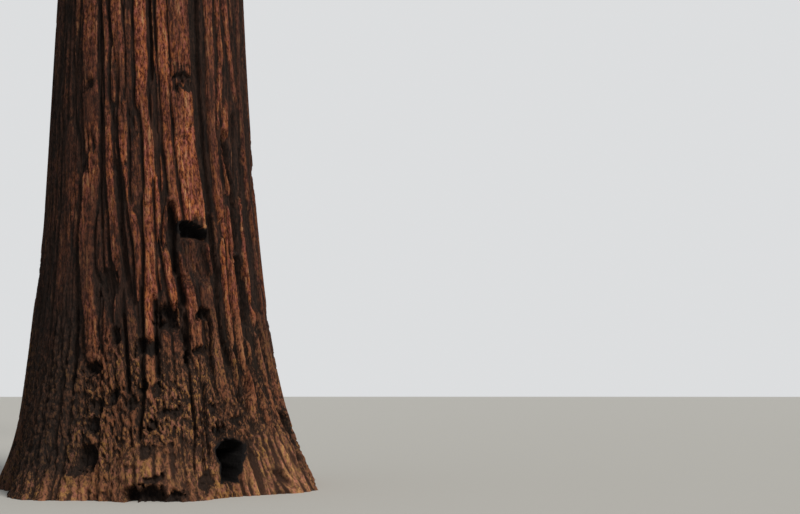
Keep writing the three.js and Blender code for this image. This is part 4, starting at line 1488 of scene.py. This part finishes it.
def fan(parents, pitch, most, angles, reach, random):
    """Children that leave each parent to both sides in turn. Returns for every child its
    parent's number, its share along it, root, direction, side, over and length."""
    counts = np.clip(np.rint(parents.length / pitch), FEWEST, most).astype(int)
    owner = np.repeat(np.arange(len(counts)), counts)
    order = np.concatenate([np.arange(count) for count in counts])
    number = len(order)
    share = (order + CHILD_START + CHILD_SCATTER * random.random(number)) / counts[owner]
    hand = np.where(order % 2, 1.0, -1.0)
    angle = lerp(*angles, share) + CHILD_ANGLE_SCATTER * (random.random(number) - 0.5)
    angle = np.radians(angle)[:, None]
    along = parents.along[owner]
    side = parents.side[owner] * hand[:, None]
    over = parents.over[owner]
    tilt = CHILD_TILT * (random.random(number) - 0.5)[:, None]
    direction = along * np.cos(angle) + side * np.sin(angle) + over * tilt
    direction[:, 2] -= CHILD_DROP
    direction = unit(direction)
    new_side = unit(np.cross(over, direction))
    root = parents.root[owner] + along * (share * parents.length[owner])[:, None]
    root[:, 2] -= parents.droop[owner] * share**2
    length = reach(parents.length[owner], share, np.sin(angle[:, 0]))
    length = length * (CHILD_LEAST + CHILD_VARIETY * random.random(number))
    return SimpleNamespace(
        owner=owner,
        share=share,
        root=root,
        along=direction,
        side=new_side,
        over=np.cross(direction, new_side),
        length=length,
        droop=CHILD_DROOP * length,
    )


def parents_of(sprays):
    """The source's sprays, as arrays of what each of them has."""
    labels = ("root", "along", "side", "over", "length")
    fields = {label: np.array([getattr(spray, label) for spray in sprays]) for label in labels}
    return SimpleNamespace(**fields, droop=BRANCH_DROOP * fields["length"])


def twig_reach(length, share, spread):
    """A twig goes out to the edge of its spray's blade."""
    width = SPRAY_SLIMNESS / 2 * np.sin(math.pi * np.clip(share, 0.03, 0.97) ** 0.8) ** 0.75
    return length * width / spread


def needle_reach(length, share, spread):
    """A spray of needles is longest near the root of its twig."""
    return lerp(*NEEDLE_LENGTH, share)


def grown_masses(group, random):
    """The wood and the needles of a group of masses, as copies for joined meshes."""
    sprays = parents_of([spray for mass in group for spray in mass.sprays])
    twigs = fan(sprays, TWIG_PITCH, MOST_TWIGS, TWIG_ANGLE, twig_reach, random)
    needles = fan(twigs, NEEDLE_PITCH, MOST_NEEDLES, NEEDLE_ANGLE, needle_reach, random)
    return sprays, twigs, needles


def bent_along(curve, rod, radius):
    """A rod bent along a single curve. radius takes the rod's shares and gives the radii."""

    def at(share):
        return np.array([curve.at(s) for s in share])

    def sides_of(share):
        return crossways(np.array([curve.direction(s) for s in share]))

    return bent_rods(rod, at, sides_of, radius)[0]


def rods_on_stems(group, rod):
    """The stems of a group, bent along their curves."""
    return np.array([bent_along(mass.curve, rod, lambda share: lerp(*mass.radii, share)) for mass in group])


def rods_on_sprays(sprays, rod):
    """A thin branch along each of the source's sprays, drooping a little to its tip."""

    def at(share):
        middles = sprays.root[:, None] + sprays.along[:, None] * (sprays.length[:, None] * share)[..., None]
        middles[..., 2] -= sprays.droop[:, None] * share**2
        return middles

    def sides_of(share):
        return sprays.side[:, None], sprays.over[:, None]

    def radius(share):
        return np.broadcast_to(lerp(*BRANCH_RADIUS, share), (len(sprays.length), len(share)))

    return bent_rods(rod, at, sides_of, radius)


def placed(shape, things, across):
    """Copies of a small flat shape laid along each thing: X runs with it and Y to its side."""
    places, faces = shape
    run = things.along[:, None] * places[None, :, 0, None] * things.length[:, None, None]
    wide = things.side[:, None] * places[None, :, 1, None] * across[:, None, None]
    thick = things.over[:, None] * places[None, :, 2, None] * across[:, None, None]
    return SCALE * (things.root[:, None] + run + wide + thick), faces


def thorn(shape):
    """A three-sided spike from 0 to 1 along X with a radius of 1."""
    bmesh.ops.create_cone(shape, cap_ends=True, segments=3, radius1=1, radius2=0, depth=1)
    bmesh.ops.rotate(shape, verts=shape.verts, matrix=Matrix.Rotation(math.pi / 2, 3, "Y"))
    bmesh.ops.translate(shape, verts=shape.verts, vec=(0.5, 0, 0))


# Setting out
def dress(piece, slot, finish, *nodes):
    finishes = finish if isinstance(finish, list) else [finish]
    for material in finishes:
        piece.data.materials.append(material)
    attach(piece, "root")
    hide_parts(*nodes)


def build_trunk():
    finish = bark_finish()
    for number, (start, end, across, up) in enumerate(STAVES, start=1):
        dress(trunk_stave(f"stave_{number}", start, end, across, up), "bark", finish, "trunk")
    heads = [foot for foot, _, _ in SLEEVES[1:]] + [TRUNK_TOP]
    for number, ((foot, across, up), head) in enumerate(zip(SLEEVES, heads), start=1):
        dress(trunk_sleeve(f"sleeve_{number}", foot, head, across, up), "bark", finish, "trunk")


def bough_piece(index, rod, finish):
    """A bough with ridged bark and a collar where it leaves the trunk."""
    bough = BOUGHS[index]
    angle = np.arctan2(rod[0][:, 1], rod[0][:, 0])

    def radius(share):
        ridged = 0
        for steps, rises, seed, weight in BOUGH_RIDGES:
            around = angle / TURN * steps + steps
            ridged = ridged + weight * noise(around, share * rises, seed + index, steps)
        plain = lerp(bough.root_radius, BOUGH_TIP_RADIUS, share)
        collar = 1 + COLLAR * np.exp(-share / COLLAR_LENGTH)
        return plain * collar * (BOUGH_FURROW + BOUGH_RIDGE * ridged)

    number = f"{index + 1:02d}"
    piece = joined(f"bough_{number}_bark", bent_along(bough.curve, rod, radius)[None], rod[1])
    piece.data.shade_smooth()
    dress(piece, "limb", finish, f"bough_{number}")


def crown_groups():
    """The numbers of the masses in each of the crown's pieces, by level and by side."""
    groups = {}
    for index in range(MASS_COUNT + 1):
        branch = BRANCHES[min(index, MASS_COUNT - 1)]
        turn = math.atan2(branch.outwards[1], branch.outwards[0]) % TURN
        key = (int(np.digitize(index, LEVELS)), int(turn / TURN * QUARTERS))
        groups.setdefault(key, []).append(index)
    return [groups[key] for key in sorted(groups)]


def node_of(index):
    return "foliage_top" if index == MASS_COUNT else f"foliage_{index + 1:02d}"


# Paints of the wood and the needles, from the inner and shaded ones to the outer ones. The last
# of the needles' paints is for a few old sprays, wherever they are.
WOODS = {"wood_dark": (72, 53, 40), "wood_brown": (98, 72, 52), "wood_grey": (122, 98, 74)}
GREENS = {
    "needles_shade": (50, 60, 34),
    "needles_deep": (66, 80, 42),
    "needles_mid": (88, 102, 52),
    "needles_fresh": (122, 134, 72),
    "needles_old": (132, 104, 60),
}
OLD_SPRAY = len(GREENS) - 1
OLD_SHARE = 0.02
GREEN_STEPS = (0.38, 0.72, 1.08)
OUT_ON_BRANCH = 0.45
OUT_ON_TWIG = 0.4
OUT_SCATTER = 0.55
LIMB_PAINTS = ((62, 44, 36), (132, 94, 74))
LIMB_GRAIN = 26
LIMB_BUMP = 0.008


def greens_of(twigs, needles, random):
    """The number of the green that each needle spray wears, lighter towards the outside."""
    outer = OUT_ON_BRANCH * twigs.share[needles.owner] + OUT_ON_TWIG * needles.share
    outer = outer + OUT_SCATTER * random.random(len(outer))
    kinds = np.digitize(outer, GREEN_STEPS)
    return np.where(random.random(len(outer)) < OLD_SHARE, OLD_SPRAY, kinds)


def build_crown():
    limb = limb_finish("limb_bark", *LIMB_PAINTS, LIMB_GRAIN, LIMB_BUMP)
    woods = plain_finishes(WOODS)
    greens = plain_finishes(GREENS)
    bough_rod = round_rod(28, 44)
    for index in range(BOUGH_COUNT):
        bough_piece(index, bough_rod, limb)
    random = np.random.default_rng(FINE_SEED)
    grown = masses()
    stem_rod = round_rod(10, 14)
    thin_rod = round_rod(5, 5)
    spike = template(thorn)
    flat_spray = template(needle_spray)
    for number, members in enumerate(crown_groups(), start=1):
        group = [grown[index] for index in members]
        nodes = [node_of(index) for index in members]
        sprays, twigs, needles = grown_masses(group, random)

        def wooden(name, copies, faces):
            kinds = random.integers(0, len(woods), len(copies))
            dress(joined(f"{name}_{number}", copies, faces, kinds), "limb", woods, *nodes)

        wooden("stems", rods_on_stems(group, stem_rod), stem_rod[1])
        wooden("branches", *rods_on_sprays(sprays, thin_rod))
        wooden("twigs", *placed(spike, twigs, np.full(len(twigs.length), TWIG_THICKNESS)))
        kinds = greens_of(twigs, needles, random)
        leaves = joined(f"needles_{number}", *placed(flat_spray, needles, needles.length), kinds)
        dress(leaves, "needles", greens, *nodes)


def build_camera():
    camera = bpy.data.cameras.new("camera")
    camera.lens = CAMERA_LENS
    camera.sensor_width = CAMERA_SENSOR
    camera.clip_end = CAMERA_REACH
    holder = bpy.data.objects.new("camera", camera)
    holder.location = CAMERA_PLACE
    holder.rotation_euler = (math.radians(90 + CAMERA_PITCH), 0, 0)
    bpy.context.scene.collection.objects.link(holder)
    bpy.context.scene.camera = holder


def build_floor():
    ground = bmesh.new()
    bmesh.ops.create_circle(ground, cap_ends=True, segments=96, radius=FLOOR_RADIUS)
    mesh = bpy.data.meshes.new("floor")
    ground.to_mesh(mesh)
    ground.free()
    floor = add_piece("floor", mesh)
    colour = paint(*FLOOR_COLOUR)
    look = Finish("pale_floor", Roughness=0.9, Specular_IOR_Level=0.1, Base_Color=colour)
    floor.data.materials.append(look.material)
    floor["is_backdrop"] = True


def build_light():
    """A broad soft light from high on the right, and an even pale room round it."""
    sun = bpy.data.lights.new("key", "SUN")
    sun.energy = KEY_STRENGTH
    sun.angle = math.radians(KEY_SOFTNESS)
    sun.color = KEY_COLOUR
    holder = bpy.data.objects.new("key", sun)
    shine = heading(math.radians(KEY_FACING), math.tan(math.radians(KEY_HEIGHT)))
    holder.rotation_euler = Vector(shine).to_track_quat("Z", "Y").to_euler()
    bpy.context.scene.collection.objects.link(holder)
    world = bpy.data.worlds.new("studio")
    bpy.context.scene.world = world
    world.use_nodes = True
    nodes = world.node_tree.nodes
    room = nodes["Background"]
    room.inputs["Color"].default_value = ROOM_COLOUR
    room.inputs["Strength"].default_value = ROOM_LIGHT
    backdrop = nodes.new("ShaderNodeBackground")
    backdrop.inputs["Color"].default_value = BACKDROP_COLOUR
    choice = nodes.new("ShaderNodeMixShader")
    rays = nodes.new("ShaderNodeLightPath")
    links = world.node_tree.links
    links.new(rays.outputs["Is Camera Ray"], choice.inputs[0])
    links.new(room.outputs[0], choice.inputs[1])
    links.new(backdrop.outputs[0], choice.inputs[2])
    links.new(choice.outputs[0], nodes["World Output"].inputs["Surface"])


build_camera()
build_floor()
build_light()
build_trunk()
build_crown()
bpy.context.scene.view_settings.view_transform = "Standard"

boxes = {"cad": CAD_BOX, "visual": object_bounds()}
{name: [list(corner) for corner in box] for name, box in boxes.items()}
